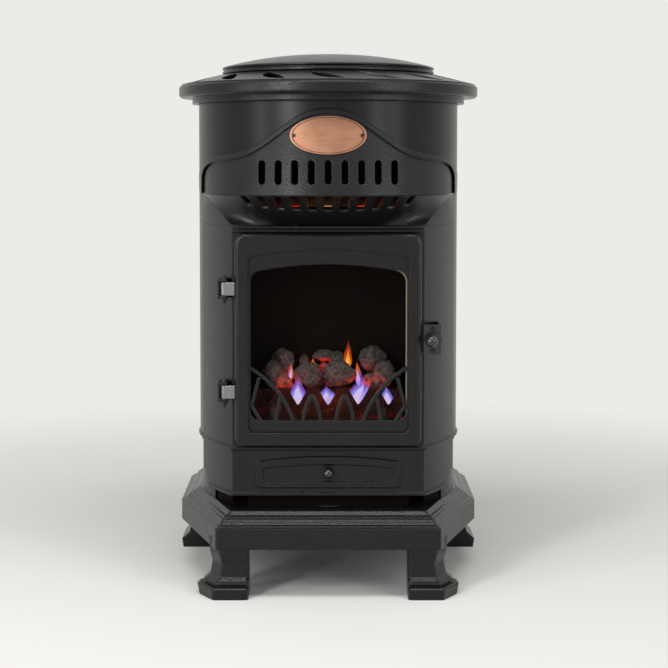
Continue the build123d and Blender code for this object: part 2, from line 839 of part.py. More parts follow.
with BuildPart() as door_frame:
    with BuildSketch(front_plane(door_back_y)):
        with Locations((0, (door_low + door_high) / 2)):
            RectangleRounded(2 * door_half, door_high - door_low, door_corner)
    extrude(amount=door_back_y - door_front_y)
    fillet(door_frame.faces().sort_by(Axis.Y)[0].edges(), door_round)
    with BuildSketch(front_plane(door_back_y)):
        add(arched_face(recess_half, recess_low, recess_side_top, recess_mid_top, recess_corner))
    extrude(amount=door_back_y - door_front_y, mode=Mode.SUBTRACT)
    with BuildSketch(front_plane(door_back_y)):
        add(rebate_face(0.0))
    extrude(amount=door_back_y - recess_back_y, mode=Mode.SUBTRACT)
    with BuildSketch(front_plane(door_back_y)):
        with Locations((0, (door_low + door_high) / 2)):
            RectangleRounded(2 * (door_half - seal_inset), door_high - door_low - 2 * seal_inset,
                             door_corner - seal_inset)
            RectangleRounded(2 * (door_half - seal_inset - seal_width),
                             door_high - door_low - 2 * (seal_inset + seal_width),
                             door_corner - seal_inset - seal_width, mode=Mode.SUBTRACT)
    extrude(amount=seal_groove, mode=Mode.SUBTRACT)
    strap_end_x = -door_half + seal_inset
    for level in strap_levels:
        with BuildSketch(Plane.XY.offset(level - strap_height / 2)):
            with Locations((hinge_x, hinge_y)):
                Circle(knuckle_radius)
            with BuildLine():
                Polyline((hinge_x, hinge_y - knuckle_radius), (hinge_x, hinge_y + strap_back),
                         (strap_end_x, hinge_y + strap_back),
                         (strap_end_x, hinge_y - knuckle_radius), close=True)
            make_face()
        extrude(amount=strap_height)
        with BuildSketch(Plane.XY.offset(level - strap_height / 2)):
            with Locations((hinge_x, hinge_y)):
                Circle(hinge_pin_radius + running_gap)
        extrude(amount=strap_height, mode=Mode.SUBTRACT)
door_frame.part.label = "door_frame"

# Inset of the door: spandrels over the window, a band and a gothic fence at its foot
def fence_bars():
    """The fence in front of the coals, drawn in the front view, both halves."""
    foot = window_low - 1.0
    arc_top_x = window_half + 1.0
    with BuildSketch() as fence:
        for side in (1, -1):
            with BuildLine() as big_arc:
                ThreePointArc((side * arc_top_x, window_low + 77.0),
                              (side * 77.0, window_low + 47.0), (side * 50.0, foot))
            with BuildLine() as outer_leg:
                Polyline((side * 99.0, window_low + 62.0), (side * 110.0, window_low + 21.0),
                         (side * 96.0, foot))
            with BuildLine() as small_leg:
                Line((side * 69.5, window_low + 33.0), (side * 75.5, foot))
            with BuildLine() as lancet:
                for turn in (1, -1):
                    ThreePointArc((side * 23.5, window_low + 37.0),
                                  (side * 23.5 + turn * 8.2, window_low + 20.0),
                                  (side * 23.5 + turn * 12.6, foot))
            for path in (big_arc, outer_leg, small_leg, lancet):
                for edge in path.edges():
                    trace(edge, line_width=fence_bar)
    return fence.sketch


with BuildPart() as door_inset:
    with BuildSketch(front_plane(recess_back_y + inset_thick)):
        add(rebate_face(seat_gap))
        add(arched_face(window_half, window_low, window_side_top, window_mid_top, window_corner),
            mode=Mode.SUBTRACT)
        add(fence_bars())
    extrude(amount=inset_thick - stack_gap)
door_inset.part.label = "door_inset"

gasket_y = recess_back_y + inset_thick
glass_y = gasket_y + gasket_thick
with BuildPart() as glass_gasket:
    with BuildSketch(front_plane(glass_y)):
        add(rebate_face(3 * seat_gap))
        add(arched_face(window_half - rope_show, window_low - rope_drop,
                        window_side_top - rope_show, window_mid_top - rope_show, window_corner),
            mode=Mode.SUBTRACT)
    extrude(amount=gasket_thick - stack_gap)
glass_gasket.part.label = "glass_gasket"

with BuildPart() as door_glass:
    with BuildSketch(front_plane(glass_y + glass_thick)):
        add(rebate_face(2 * seat_gap))
    extrude(amount=glass_thick - stack_gap)
door_glass.part.label = "door_glass"

with BuildPart() as door_rope:
    rope_front_y = door_back_y - seal_groove + rope_gap
    with BuildSketch(front_plane(face_y - seat_gap)):
        with Locations((0, (door_low + door_high) / 2)):
            RectangleRounded(2 * (door_half - seal_inset - rope_gap),
                             door_high - door_low - 2 * (seal_inset + rope_gap),
                             door_corner - seal_inset - rope_gap)
            RectangleRounded(2 * (door_half - seal_inset - seal_width + rope_gap),
                             door_high - door_low - 2 * (seal_inset + seal_width - rope_gap),
                             door_corner - seal_inset - seal_width + rope_gap, mode=Mode.SUBTRACT)
    extrude(amount=face_y - seat_gap - rope_front_y)
door_rope.part.label = "door_rope"

# Clips that hold the glass into the back of the door
with BuildPart() as glass_clips:
    with BuildSketch(front_plane(door_back_y + clip_thick)):
        with Locations((0, door_mid_z)):
            with GridLocations(2 * recess_half + rebate_lap, clip_pitch, 2, 3):
                RectangleRounded(clip_width, clip_height, clip_corner)
    extrude(amount=clip_thick - press_gap)
glass_clips.part.label = "glass_clips"

# Hinge brackets on the surround: two ears round each strap, joined by a bar in front
bar_inner_x = hinge_x - hinge_bar_gap
bar_outer_x = bar_inner_x - hinge_bar_thick
strap_half = strap_height / 2 + ear_gap
with BuildPart() as hinge_brackets:
    for level in strap_levels:
        low = level - strap_half - ear_height
        with BuildSketch(Plane.XY.offset(low)):
            with Locations((hinge_x, hinge_y)):
                Circle(ear_radius)
            with BuildLine():
                Polyline((bar_outer_x, hinge_y - hinge_bar_half),
                         (hinge_x + knuckle_radius, hinge_y - hinge_bar_half),
                         (hinge_x + knuckle_radius, face_y + bracket_depth),
                         (bar_outer_x, face_y + bracket_depth), close=True)
            make_face()
            with Locations((hinge_x, hinge_y)):
                Circle(hinge_pin_radius + press_gap, mode=Mode.SUBTRACT)
        extrude(amount=2 * (strap_half + ear_height))
        with BuildSketch(Plane.XY.offset(low + ear_height)):
            with BuildLine():
                Polyline((bar_inner_x, hinge_y - 2 * ear_radius),
                         (hinge_x + 2 * ear_radius, hinge_y - 2 * ear_radius),
                         (hinge_x + 2 * ear_radius, hinge_y + ear_radius),
                         (bar_inner_x, hinge_y + ear_radius), close=True)
            make_face()
        extrude(amount=2 * strap_half, mode=Mode.SUBTRACT)
        with BuildSketch(Plane.XY.offset(low)):
            add(front_plan(seat_gap / 2))
        extrude(amount=2 * (strap_half + ear_height), mode=Mode.SUBTRACT)
hinge_brackets.part.label = "hinge_brackets"

# Hinge pins: a domed head on the upper ear, a nut and a short tail under the lower one
pin_head_seat = pin_head_radius / 3
with BuildPart() as hinge_pins:
    for level in strap_levels:
        low = level - strap_half - ear_height - press_gap
        high = level + strap_half + ear_height + press_gap
        nut_low = low - pin_head_radius
        with BuildSketch(Plane(origin=(hinge_x, hinge_y, 0), x_dir=(1, 0, 0), z_dir=(0, -1, 0))):
            with BuildLine():
                Polyline((0, high + pin_head_seat + pin_head_radius), (0, nut_low - pin_tail_length),
                         (pin_tail_radius, nut_low - pin_tail_length), (pin_tail_radius, nut_low),
                         (pin_head_radius - pin_head_seat, nut_low),
                         (pin_head_radius, nut_low + pin_head_seat), (pin_head_radius, low),
                         (hinge_pin_radius, low), (hinge_pin_radius, high),
                         (pin_head_radius, high), (pin_head_radius, high + pin_head_seat))
                RadiusArc((pin_head_radius, high + pin_head_seat),
                          (0, high + pin_head_seat + pin_head_radius), -pin_head_radius)
            make_face()
        revolve(axis=Axis((hinge_x, hinge_y, 0), (0, 0, 1)))
hinge_pins.part.label = "hinge_pins"

# Latch bracket on the surround: a bent plate with a web back to the casting
latch_screw_x = latch_x + latch_screw_right
with BuildPart() as latch_bracket:
    with BuildSketch(Plane.XY.offset(latch_z - bracket_half_height)):
        with BuildLine():
            Polyline((bracket_left, bracket_front_y), (bracket_right, bracket_front_y),
                     (bracket_right, face_y + 2 * bracket_depth),
                     (bracket_left, face_y + 2 * bracket_depth), close=True)
        make_face()
        with BuildLine():
            Polyline((bracket_left - lap, bracket_front_y + bracket_wall),
                     (bracket_right - bracket_wall, bracket_front_y + bracket_wall),
                     (bracket_right - bracket_wall, face_y + 2 * bracket_depth + lap),
                     (bracket_left - lap, face_y + 2 * bracket_depth + lap), close=True)
        make_face(mode=Mode.SUBTRACT)
        add(front_plan(seat_gap / 2), mode=Mode.SUBTRACT)
    extrude(amount=2 * bracket_half_height)
    with BuildSketch(front_plane(bracket_front_y)):
        with Locations((latch_x, latch_z)):
            Circle(latch_spindle_radius + running_gap)
        with Locations((latch_screw_x, latch_z + latch_screw_offset),
                       (latch_screw_x, latch_z - latch_screw_offset)):
            Circle(latch_screw_radius + running_gap)
    extrude(amount=-bracket_wall, mode=Mode.SUBTRACT)
latch_bracket.part.label = "latch_bracket"

with BuildPart() as latch_screws:
    for side in (1, -1):
        with BuildSketch(front_plane(bracket_front_y + bracket_wall + latch_collar)):
            with Locations((latch_screw_x, latch_z + side * latch_screw_offset)):
                Circle(latch_screw_radius)
        extrude(amount=bracket_wall + latch_collar + press_gap)
        with BuildSketch(front_plane(bracket_front_y - press_gap)):
            with Locations((latch_screw_x, latch_z + side * latch_screw_offset)):
                Circle(latch_screw_head)
        extrude(amount=latch_screw_radius, taper=18)
latch_screws.part.label = "latch_screws"

# Latch knob: ball knob, off-centre cam and spindle in one turning piece
cam_back_y = door_front_y - 2 * seat_gap
spindle_back_y = bracket_front_y + bracket_wall + 2 * latch_collar
with BuildPart() as latch_knob:
    with BuildSketch(front_plane(spindle_back_y)):
        with Locations((latch_x, latch_z)):
            Circle(latch_spindle_radius)
    extrude(amount=spindle_back_y - cam_back_y)
    with BuildSketch(front_plane(spindle_back_y)):
        with Locations((latch_x, latch_z)):
            Circle(latch_spindle_radius + latch_collar)
    extrude(amount=2 * latch_collar - seat_gap)
    with BuildSketch(front_plane(cam_back_y)):
        with Locations((latch_x + cam_offset, latch_z)):
            Circle(cam_radius)
    extrude(amount=cam_thick)
    add(ball_knob(latch_x, cam_back_y - cam_thick, latch_z, latch_knob_radius,
                  knob_foot_radius))
latch_knob.part.label = "latch_knob"

# Firebox: folded steel box behind the surround, open to the front, slotted on top
with BuildPart() as firebox:
    add(slab(box_half, face_y + casting_wall + seat_gap, box_back_y, box_low, box_high))
    add(slab(box_half - box_wall, face_y, box_back_y - box_wall, box_low + box_wall,
             box_high - box_wall), mode=Mode.SUBTRACT)
    with BuildSketch(Plane.XY.offset(box_high - box_wall)):
        with Locations((0, (face_y + casting_wall + box_back_y) / 2 + box_slot_width / 4)):
            with GridLocations(box_slot_pitch, 0, 5, 1):
                SlotOverall(box_slot_length, box_slot_width, rotation=90)
    extrude(amount=box_wall, mode=Mode.SUBTRACT)
    with BuildSketch(Plane.YZ.offset(-box_half - lap)):
        with Locations((burner_y, burner_z)):
            Circle(burner_radius + burner_gap)
    extrude(amount=box_wall + 2 * lap, mode=Mode.SUBTRACT)
firebox.part.label = "firebox"

with BuildPart() as heat_shield:
    shield_half = sqrt((drum_radius - sheet - pan_gap) ** 2 - shield_y ** 2)
    add(slab(shield_half, shield_y, shield_y + sheet, base_top + pan_lip + pan_gap, shield_top))
    for batten_z in (box_low + 2 * batten, box_high - 2 * batten):
        add(slab(box_half, box_back_y + seat_gap, shield_y, batten_z - batten / 2,
                 batten_z + batten / 2))
heat_shield.part.label = "heat_shield"

# Burner tray, burner bar, and the pilot pieces beside the fire
with BuildPart() as burner_tray:
    add(slab(tray_half, tray_front_y, tray_back_y, box_low + box_wall + seat_gap, tray_high))
    add(slab(tray_half - sheet, tray_front_y + sheet, tray_back_y - sheet, tray_low, tray_high),
        mode=Mode.SUBTRACT)
    with BuildSketch(Plane.YZ.offset(-tray_half - lap)):
        with Locations((burner_y, burner_z)):
            Circle(burner_radius + burner_gap)
    extrude(amount=sheet + 2 * lap, mode=Mode.SUBTRACT)
burner_tray.part.label = "burner_tray"

with BuildPart() as burner_bar:
    with BuildSketch(Plane.YZ.offset(-box_half - burner_stub)):
        with Locations((burner_y, burner_z)):
            Circle(burner_radius)
    extrude(amount=box_half + burner_stub + tray_half - 2 * sheet)
    with BuildSketch(Plane.XY.offset(burner_z)):
        with Locations((0, burner_y)):
            with GridLocations(port_pitch, 0, port_count, 1):
                Circle(port_radius)
    extrude(amount=burner_radius + lap, mode=Mode.SUBTRACT)
burner_bar.part.label = "burner_bar"

with BuildPart() as pilot_parts:
    for side in (1, -1):
        with BuildSketch(Plane.XY.offset(tray_high)):
            with Locations((side * pilot_x, tray_front_y + pilot_thick / 2)):
                RectangleRounded(pilot_width, pilot_thick, pilot_thick / 3)
        extrude(amount=pilot_height)
        with BuildSketch(Plane.XY.offset(tray_high + pilot_height)):
            with Locations((side * pilot_x, tray_front_y + pilot_thick / 2)):
                Circle(0.4 * pilot_thick)
        extrude(amount=pilot_tip)
pilot_parts.part.label = "pilot_parts"

# Ceramic bed: front wall with V notches for the flames, and a shelf for the coals
with BuildPart() as coal_bed:
    crest = []
    for index in range(notch_count):
        notch_x = (index - (notch_count - 1) / 2) * notch_pitch
        crest += [(notch_x - notch_half, bed_front_top), (notch_x, notch_bottom),
                  (notch_x + notch_half, bed_front_top)]
    with BuildSketch(front_plane(bed_front_y + bed_front_depth)):
        with BuildLine():
            Polyline((-bed_half, tray_high), (-bed_half, bed_front_top), *crest,
                     (bed_half, bed_front_top), (bed_half, tray_high), close=True)
        make_face()
    extrude(amount=bed_front_depth)
    add(slab(bed_half, bed_front_y + bed_front_depth, tray_back_y, tray_high, bed_shelf_top))
    with BuildSketch(Plane.XY.offset(tray_high)):
        with Locations((0, burner_y)):
            with GridLocations(notch_pitch, 0, notch_count, 1):
                SlotOverall(bed_slot_length, bed_slot_width)
    extrude(amount=bed_shelf_top - tray_high, mode=Mode.SUBTRACT)
coal_bed.part.label = "coal_bed"

# Coals: x, depth behind the bed's front, half width, half depth, height over the shelf
coal_sizes = (
    (-86.0, 29.0, 15.0, 8.5, 38.0),
    (-70.0, 50.0, 19.0, 11.0, 58.0),
    (-30.0, 29.0, 19.0, 8.5, 36.0),
    (19.0, 29.0, 20.0, 8.5, 42.0),
    (-6.0, 50.0, 24.0, 11.0, 56.0),
    (66.0, 50.0, 22.0, 11.0, 60.0),
    (86.0, 29.0, 15.0, 8.5, 40.0),
)
# Share of the height, and share of the width there
coal_rings = ((0.0, 0.74), (0.28, 1.0), (0.60, 0.94), (0.84, 0.66), (1.0, 0.26))
coal_corners = 9
with BuildPart() as coals:
    for index, (x, depth, half_x, half_y, height) in enumerate(coal_sizes):
        with BuildPart(mode=Mode.PRIVATE) as lump:
            for height_share, width_share in coal_rings:
                corners = []
                for corner in range(coal_corners):
                    angle = 2 * pi * corner / coal_corners
                    reach = width_share * (1.0 + coal_ripple * sin(2.3 * angle + index))
                    corners.append((half_x * reach * cos(angle), half_y * reach * sin(angle)))
                with BuildSketch(Plane.XY.offset(bed_shelf_top + height_share * height)):
                    with Locations((x, bed_front_y + depth)):
                        Polygon(*corners, align=None)
            loft(ruled=True)
        add(lump.part)
coals.part.label = "coals"

# Louvres that turn the hot air forward under the hood
with BuildPart() as louvre_rack:
    rack_low = box_high
    rack_high = louvre_first_z + louvre_pitch * louvre_count
    for side in (1, -1):
        with BuildSketch(Plane.YZ.offset(side * louvre_half - sheet / 2)):
            with Locations((louvre_y, (rack_low + rack_high) / 2)):
                Rectangle(0.8 * louvre_width, rack_high - rack_low)
        extrude(amount=sheet)
    for index in range(louvre_count):
        blade_z = louvre_first_z + index * louvre_pitch
        with BuildSketch(Plane.YZ.offset(-louvre_half)):
            with Locations(Location((louvre_y, blade_z), louvre_tilt)):
                Rectangle(louvre_width, sheet)
        extrude(amount=2 * louvre_half)
louvre_rack.part.label = "louvre_rack"

# Rim of the top: a stepped cast ring on the jacket
with BuildPart() as top_rim:
    with BuildSketch(Plane.XZ):
        with BuildLine():
            Polyline((rim_inner, jacket_top), (step_radius, jacket_top), (step_radius, rim_low),
                     (rim_radius - rim_round, rim_low), (rim_radius, rim_low + rim_round),
                     (rim_radius, rim_high - rim_round), (rim_radius - rim_round, rim_high),
                     (rim_inner + rim_ledge, rim_high), (rim_inner + rim_ledge, rim_low + rim_round),
                     (rim_inner, rim_low + rim_round), close=True)
        make_face()
    revolve(axis=Axis.Z)
top_rim.part.label = "top_rim"

# Pierced ring: a low cone with a swirl of leaf-shaped openings
cone_low = rim_high
cone_high = rim_high + cone_height
with BuildPart() as cone_blank:
    with BuildSketch(Plane.XZ):
        with BuildLine():
            Polyline((cone_outer, cone_low), (cone_outer, cone_low + cone_edge),
                     (lid_radius + cone_thick, cone_high), (cone_inner, cone_high),
                     (cone_inner, cone_high - cone_thick),
                     (lid_radius + cone_thick / 2, cone_high - cone_thick),
                     (rim_inner + rim_ledge + lap, cone_low), close=True)
        make_face()
    revolve(axis=Axis.Z)

leaf_start = lid_radius + 2 * cone_thick
leaf_end = cone_outer - leaf_border
leaf_run = leaf_end - leaf_start
with BuildPart() as pierced_ring:
    add(cone_blank.part)
    for index in range(leaf_count):
        turn = 360.0 / leaf_count * index + leaf_first_angle
        tip = (leaf_end - 0.1 * leaf_run, leaf_length)
        with BuildSketch(Plane.XY.offset(cone_low - lap).rotated((0, 0, turn))):
            with BuildLine():
                ThreePointArc((leaf_start, 0), (leaf_start + 0.27 * leaf_run, 0.42 * leaf_length), tip)
                ThreePointArc(tip, (leaf_start + 0.74 * leaf_run, 0.28 * leaf_length), (leaf_start, 0))
            make_face()
        extrude(amount=cone_height + 2 * lap, mode=Mode.SUBTRACT)
pierced_ring.part.label = "pierced_ring"

# Control tray: a dished sheet hung in the pierced ring, with the controls on its floor
with BuildPart() as control_tray:
    with BuildSketch(Plane.XY.offset(tray_floor_z)):
        Circle(tray_radius)
    extrude(amount=cone_high - tray_floor_z)
    with BuildSketch(Plane.XY.offset(cone_high)):
        Circle(tray_flange)
    extrude(amount=flange_thick)
    with BuildSketch(Plane.XY.offset(tray_floor_z + sheet)):
        Circle(tray_radius - sheet)
    extrude(amount=cone_high - tray_floor_z + flange_thick, mode=Mode.SUBTRACT)
    with BuildSketch(Plane.XY.offset(tray_floor_z)):
        with Locations((knob_x, knob_y)):
            Circle(spindle_radius + sheet)
        with Locations((igniter_x, igniter_y)):
            Circle(button_radius + lap)
    extrude(amount=sheet, mode=Mode.SUBTRACT)
control_tray.part.label = "control_tray"

# Lid: domed disc with a beaded edge, a finger scoop at the front and two hinge lugs behind
lid_low = cone_high + flange_thick + seat_gap
lid_edge_top = lid_low + lid_edge_height
lid_top = lid_edge_top + lid_rise
hinge_z = lid_low + 0.5 * lid_edge_height
scoop_z = lid_edge_top - 4.5


def scoop_face(grow):
    """The eye-shaped finger scoop in the lid's edge, in the front view, grown by grow."""
    reach = scoop_half + 2 * grow
    with BuildSketch() as eye:
        with BuildLine():
            ThreePointArc((-reach, scoop_z), (0, scoop_z + 7.0 + grow), (reach, scoop_z))
            ThreePointArc((reach, scoop_z), (0, scoop_z - 4.0 - grow), (-reach, scoop_z))
        make_face()
    return eye.sketch


shoulder_x = 0.62 * lid_radius
shoulder_z = lid_top - 0.32 * lid_rise
lid_groove = lid_edge_height / 3
with BuildPart() as lid:
    with BuildSketch(Plane.XZ):
        with BuildLine():
            Polyline((0, lid_top - lid_wall), (0, lid_top), (lid_flat, lid_top))
            ThreePointArc((lid_flat, lid_top), (shoulder_x, shoulder_z),
                          (lid_radius - lid_groove, lid_edge_top))
            Polyline((lid_radius - lid_groove, lid_edge_top), (lid_radius, lid_edge_top - 0.4 * lid_groove),
                     (lid_radius, lid_edge_top - lid_groove),
                     (lid_radius - 0.5 * lid_groove, lid_edge_top - 1.3 * lid_groove),
                     (lid_radius - 0.5 * lid_groove, lid_low + 1.3 * lid_groove),
                     (lid_radius, lid_low + lid_groove), (lid_radius, lid_low),
                     (lid_radius - lid_rim, lid_low), (lid_radius - lid_rim, lid_edge_top - lid_wall))
            ThreePointArc((lid_radius - lid_rim, lid_edge_top - lid_wall),
                          (shoulder_x, shoulder_z - lid_wall), (lid_flat, lid_top - lid_wall))
            Line((lid_flat, lid_top - lid_wall), (0, lid_top - lid_wall))
        make_face()
    revolve(axis=Axis.Z)
    with BuildSketch(front_plane(-lid_radius + scoop_depth)):
        add(scoop_face(0.0))
    extrude(amount=2 * scoop_depth, mode=Mode.SUBTRACT)
    with BuildSketch(front_plane(-lid_radius + 3 * scoop_depth)):
        add(scoop_face(scoop_lip))
        add(scoop_face(0.0), mode=Mode.SUBTRACT)
        with Locations((0, lid_low)):
            Rectangle(4 * scoop_half, 2 * (scoop_z - lid_low), mode=Mode.SUBTRACT)
    extrude(amount=2.3 * scoop_depth)
    for side in (1, -1):
        with BuildSketch(Plane.YZ.offset(side * lid_lug_half - lid_lug_width / 2)):
            with Locations((lid_hinge_y, hinge_z)):
                Circle(lid_lug_radius)
            with Locations(((lid_hinge_y + lid_radius - lid_rim / 2) / 2, hinge_z)):
                Rectangle(lid_hinge_y - lid_radius + lid_rim / 2, 1.3 * lid_lug_radius)
            with Locations((lid_hinge_y, hinge_z)):
                Circle(lid_hinge_pin_radius + running_gap, mode=Mode.SUBTRACT)
        extrude(amount=lid_lug_width)
lid.part.label = "lid"

# Lid hinge on the pierced ring: three ears and one pin
with BuildPart() as lid_bracket:
    ear_low = cone_high
    outer_ear_x = lid_lug_half + lid_lug_width / 2 + lid_ear_gap + lid_ear_width / 2
    middle_ear_half = lid_lug_half - lid_lug_width / 2 - lid_ear_gap
    for ear_x, ear_half in ((-outer_ear_x, lid_ear_width / 2), (0.0, middle_ear_half),
                            (outer_ear_x, lid_ear_width / 2)):
        with BuildSketch(Plane.YZ.offset(ear_x - ear_half)):
            with Locations((lid_hinge_y, hinge_z)):
                Circle(lid_lug_radius)
            with Locations((lid_hinge_y, (ear_low + hinge_z) / 2 - lap)):
                Rectangle(1.5 * lid_lug_radius, hinge_z - ear_low + 2 * lap)
            with Locations((lid_hinge_y, hinge_z)):
                Circle(lid_hinge_pin_radius + press_gap, mode=Mode.SUBTRACT)
        extrude(amount=2 * ear_half)
    add(cone_blank.part, mode=Mode.SUBTRACT)
lid_bracket.part.label = "lid_bracket"

with BuildPart() as lid_pin:
    pin_half = outer_ear_x + lid_ear_width / 2 + 2 * lid_ear_gap
    with BuildSketch(Plane.YZ.offset(-pin_half)):
        with Locations((lid_hinge_y, hinge_z)):
            Circle(lid_hinge_pin_radius)
    extrude(amount=2 * pin_half)
lid_pin.part.label = "lid_pin"

# Gas valve under the control tray, its spindle, and the knob on top
valve_top = tray_floor_z - seat_gap
with BuildPart() as gas_valve:
    with BuildSketch(Plane.XY.offset(valve_top - valve_height)):
        with Locations((knob_x, knob_y)):
            RectangleRounded(2 * valve_half, 2 * valve_half, valve_corner)
    extrude(amount=valve_height)
    with BuildSketch(Plane.XY.offset(valve_top - valve_height)):
        with Locations((knob_x, knob_y)):
            Circle(spindle_radius + running_gap)
    extrude(amount=valve_height, mode=Mode.SUBTRACT)
    with BuildSketch(Plane.XY.offset(valve_top - valve_height - valve_boss)):
        with Locations((knob_x, knob_y)):
            Circle(valve_boss_radius)
    extrude(amount=valve_boss)
gas_valve.part.label = "gas_valve"

with BuildPart() as gas_inlet:
    inlet_z = valve_top - valve_height / 2
    inlet_y = knob_y + valve_half
    with BuildSketch(Plane.XZ.offset(-inlet_y)):
        with Locations((knob_x, inlet_z)):
            RegularPolygon(inlet_nut, 6)
    extrude(amount=-inlet_nut)
    with BuildSketch(Plane.XZ.offset(-inlet_y - inlet_nut)):
        with Locations((knob_x, inlet_z)):
            Circle(spigot_radius)
    extrude(amount=-spigot_length)
gas_inlet.part.label = "gas_inlet"

# Rigid gas pipe: down the side of the firebox and into the burner bar
with BuildPart() as gas_pipe:
    pipe_top_z = valve_top - valve_height / 2
    pipe_start_x = knob_x - valve_half
    pipe_end_x = -box_half - burner_stub
    with BuildLine() as pipe_path:
        FilletPolyline((pipe_start_x, knob_y, pipe_top_z), (pipe_x, knob_y, pipe_top_z),
                       (pipe_x, pipe_y, shield_top + pipe_drop),
                       (pipe_x, pipe_y, burner_z + 2 * pipe_drop),
                       (pipe_x, burner_y, burner_z), (pipe_end_x, burner_y, burner_z),
                       radius=pipe_bend)
    with BuildSketch(Plane(origin=pipe_path.line @ 0, z_dir=pipe_path.line % 0)):
        Circle(pipe_radius)
    sweep()
gas_pipe.part.label = "gas_pipe"

with BuildPart() as valve_spindle:
    with BuildSketch(Plane.XY.offset(valve_top - valve_height + knob_travel + lap)):
        with Locations((knob_x, knob_y)):
            Circle(spindle_radius)
    extrude(amount=valve_height - knob_travel - lap + spindle_reach)
valve_spindle.part.label = "valve_spindle"

knob_low = tray_floor_z + sheet + knob_travel + lap
with BuildPart() as control_knob:
    with BuildSketch(Plane.XY.offset(knob_low)):
        with Locations((knob_x, knob_y)):
            Circle(knob_radius)
    extrude(amount=knob_skirt, taper=6)
    with BuildSketch(Plane.XY.offset(knob_low + knob_skirt)):
        with Locations((knob_x, knob_y)):
            Circle(knob_radius - knob_skirt / 2)
            with PolarLocations(knob_radius - knob_skirt / 6, 12):
                Circle(flute_radius, mode=Mode.SUBTRACT)
    extrude(amount=knob_height - knob_skirt)
    with BuildSketch(Plane.XY.offset(knob_low + knob_height)):
        with Locations((knob_x, knob_y + knob_radius / 2 - pointer_width / 2)):
            Rectangle(pointer_width, knob_radius - knob_skirt)
    extrude(amount=pointer_width / 3)
    spindle_top = valve_top + spindle_reach
    with BuildSketch(Plane.XY.offset(knob_low)):
        with Locations((knob_x, knob_y)):
            Circle(spindle_radius + running_gap)
    extrude(amount=spindle_top - knob_low + seat_gap, mode=Mode.SUBTRACT)
control_knob.part.label = "control_knob"

# Piezo igniter: a bezel in the tray, its body below, and a sprung button
with BuildPart() as igniter_body:
    with BuildSketch(Plane.XY.offset(tray_floor_z + sheet)):
        with Locations((igniter_x, igniter_y)):
            Circle(bezel_radius)
    extrude(amount=bezel_height)
    with BuildSketch(Plane.XY.offset(tray_floor_z - igniter_depth)):
        with Locations((igniter_x, igniter_y)):
            Circle(button_radius + lap - slide_gap)
    extrude(amount=igniter_depth + sheet + bezel_height)
    with BuildSketch(Plane.XY.offset(tray_floor_z + sheet + bezel_height)):
        with Locations((igniter_x, igniter_y)):
            Circle(stem_radius + slide_gap)
    extrude(amount=-button_travel - 2 * button_stem, mode=Mode.SUBTRACT)
igniter_body.part.label = "igniter_body"

with BuildPart() as igniter_button:
    button_low = tray_floor_z + sheet + bezel_height + button_travel + seat_gap
    with BuildSketch(Plane.XY.offset(button_low - button_travel - button_stem)):
        with Locations((igniter_x, igniter_y)):
            Circle(stem_radius)
    extrude(amount=button_travel + button_stem)
    with BuildSketch(Plane.XY.offset(button_low)):
        with Locations((igniter_x, igniter_y)):
            Circle(button_radius)
    extrude(amount=button_height)
    fillet(igniter_button.faces().sort_by(Axis.Z)[-1].edges(), button_round)
igniter_button.part.label = "igniter_button"

# Rear door: a curved lap door over the bottle space
rear_skin_in = jacket_radius + rear_gap
rear_edge_angle = degrees(asin(rear_door_half / rear_skin_in))
rear_hinge_radius = jacket_radius + rear_hinge_out
rear_hinge_angle = radians(90.0 + rear_edge_angle + 1.6)
rear_hinge_x = rear_hinge_radius * cos(rear_hinge_angle)
rear_hinge_y = rear_hinge_radius * sin(rear_hinge_angle)


def catch_plane(radius):
    """Plane square to the cabinet's radius at the rear catch, facing outward."""
    angle = asin((rear_cut_half - catch_inset) / jacket_radius)
    return Plane(origin=(radius * sin(angle), radius * cos(angle), catch_z),
                 x_dir=(cos(angle), -sin(angle), 0), z_dir=(sin(angle), cos(angle), 0))


with BuildPart() as rear_door:
    add(ring(rear_skin_in + rear_skin, rear_skin_in, rear_door_low, rear_door_high))
    add(slab(rear_door_half, 0, 2 * front_reach, rear_door_low, rear_door_high),
        mode=Mode.INTERSECT)
    with BuildSketch(front_plane(0)):
        for level in (rear_door_low + rear_slot_inset, rear_door_high - rear_slot_inset):
            with Locations((0, level)):
                with GridLocations(rear_slot_pitch, 0, 9, 1):
                    SlotOverall(rear_slot_length, rear_slot_width, rotation=90)
    extrude(amount=-2 * front_reach, mode=Mode.SUBTRACT)
    with BuildSketch(catch_plane(rear_skin_in - catch_spindle_radius)):
        Circle(catch_spindle_radius + running_gap)
    extrude(amount=rear_skin + 2 * catch_spindle_radius, mode=Mode.SUBTRACT)
    for level in rear_hinge_levels:
        with BuildSketch(Plane.XY.offset(level - rear_knuckle_height / 2)):
            with Locations((rear_hinge_x, rear_hinge_y)):
                Circle(rear_knuckle_radius)
            with BuildLine():
                arm_angle = radians(90.0 + rear_edge_angle - 4.0)
                arm_in = rear_skin_in + rear_skin / 3
                arm_top = rear_hinge_radius + 0.75 * rear_knuckle_radius
                arm_out = rear_skin_in + 2 * rear_skin
                Polyline((rear_hinge_x, rear_hinge_y),
                         (arm_in * cos(arm_angle), arm_in * sin(arm_angle)),
                         (arm_out * cos(arm_angle), arm_out * sin(arm_angle)),
                         (arm_top * cos(rear_hinge_angle - 0.004),
                          arm_top * sin(rear_hinge_angle - 0.004)), close=True)
            make_face()
            with Locations((rear_hinge_x, rear_hinge_y)):
                Circle(rear_pin_radius + running_gap, mode=Mode.SUBTRACT)
        extrude(amount=rear_knuckle_height)
rear_door.part.label = "rear_door"

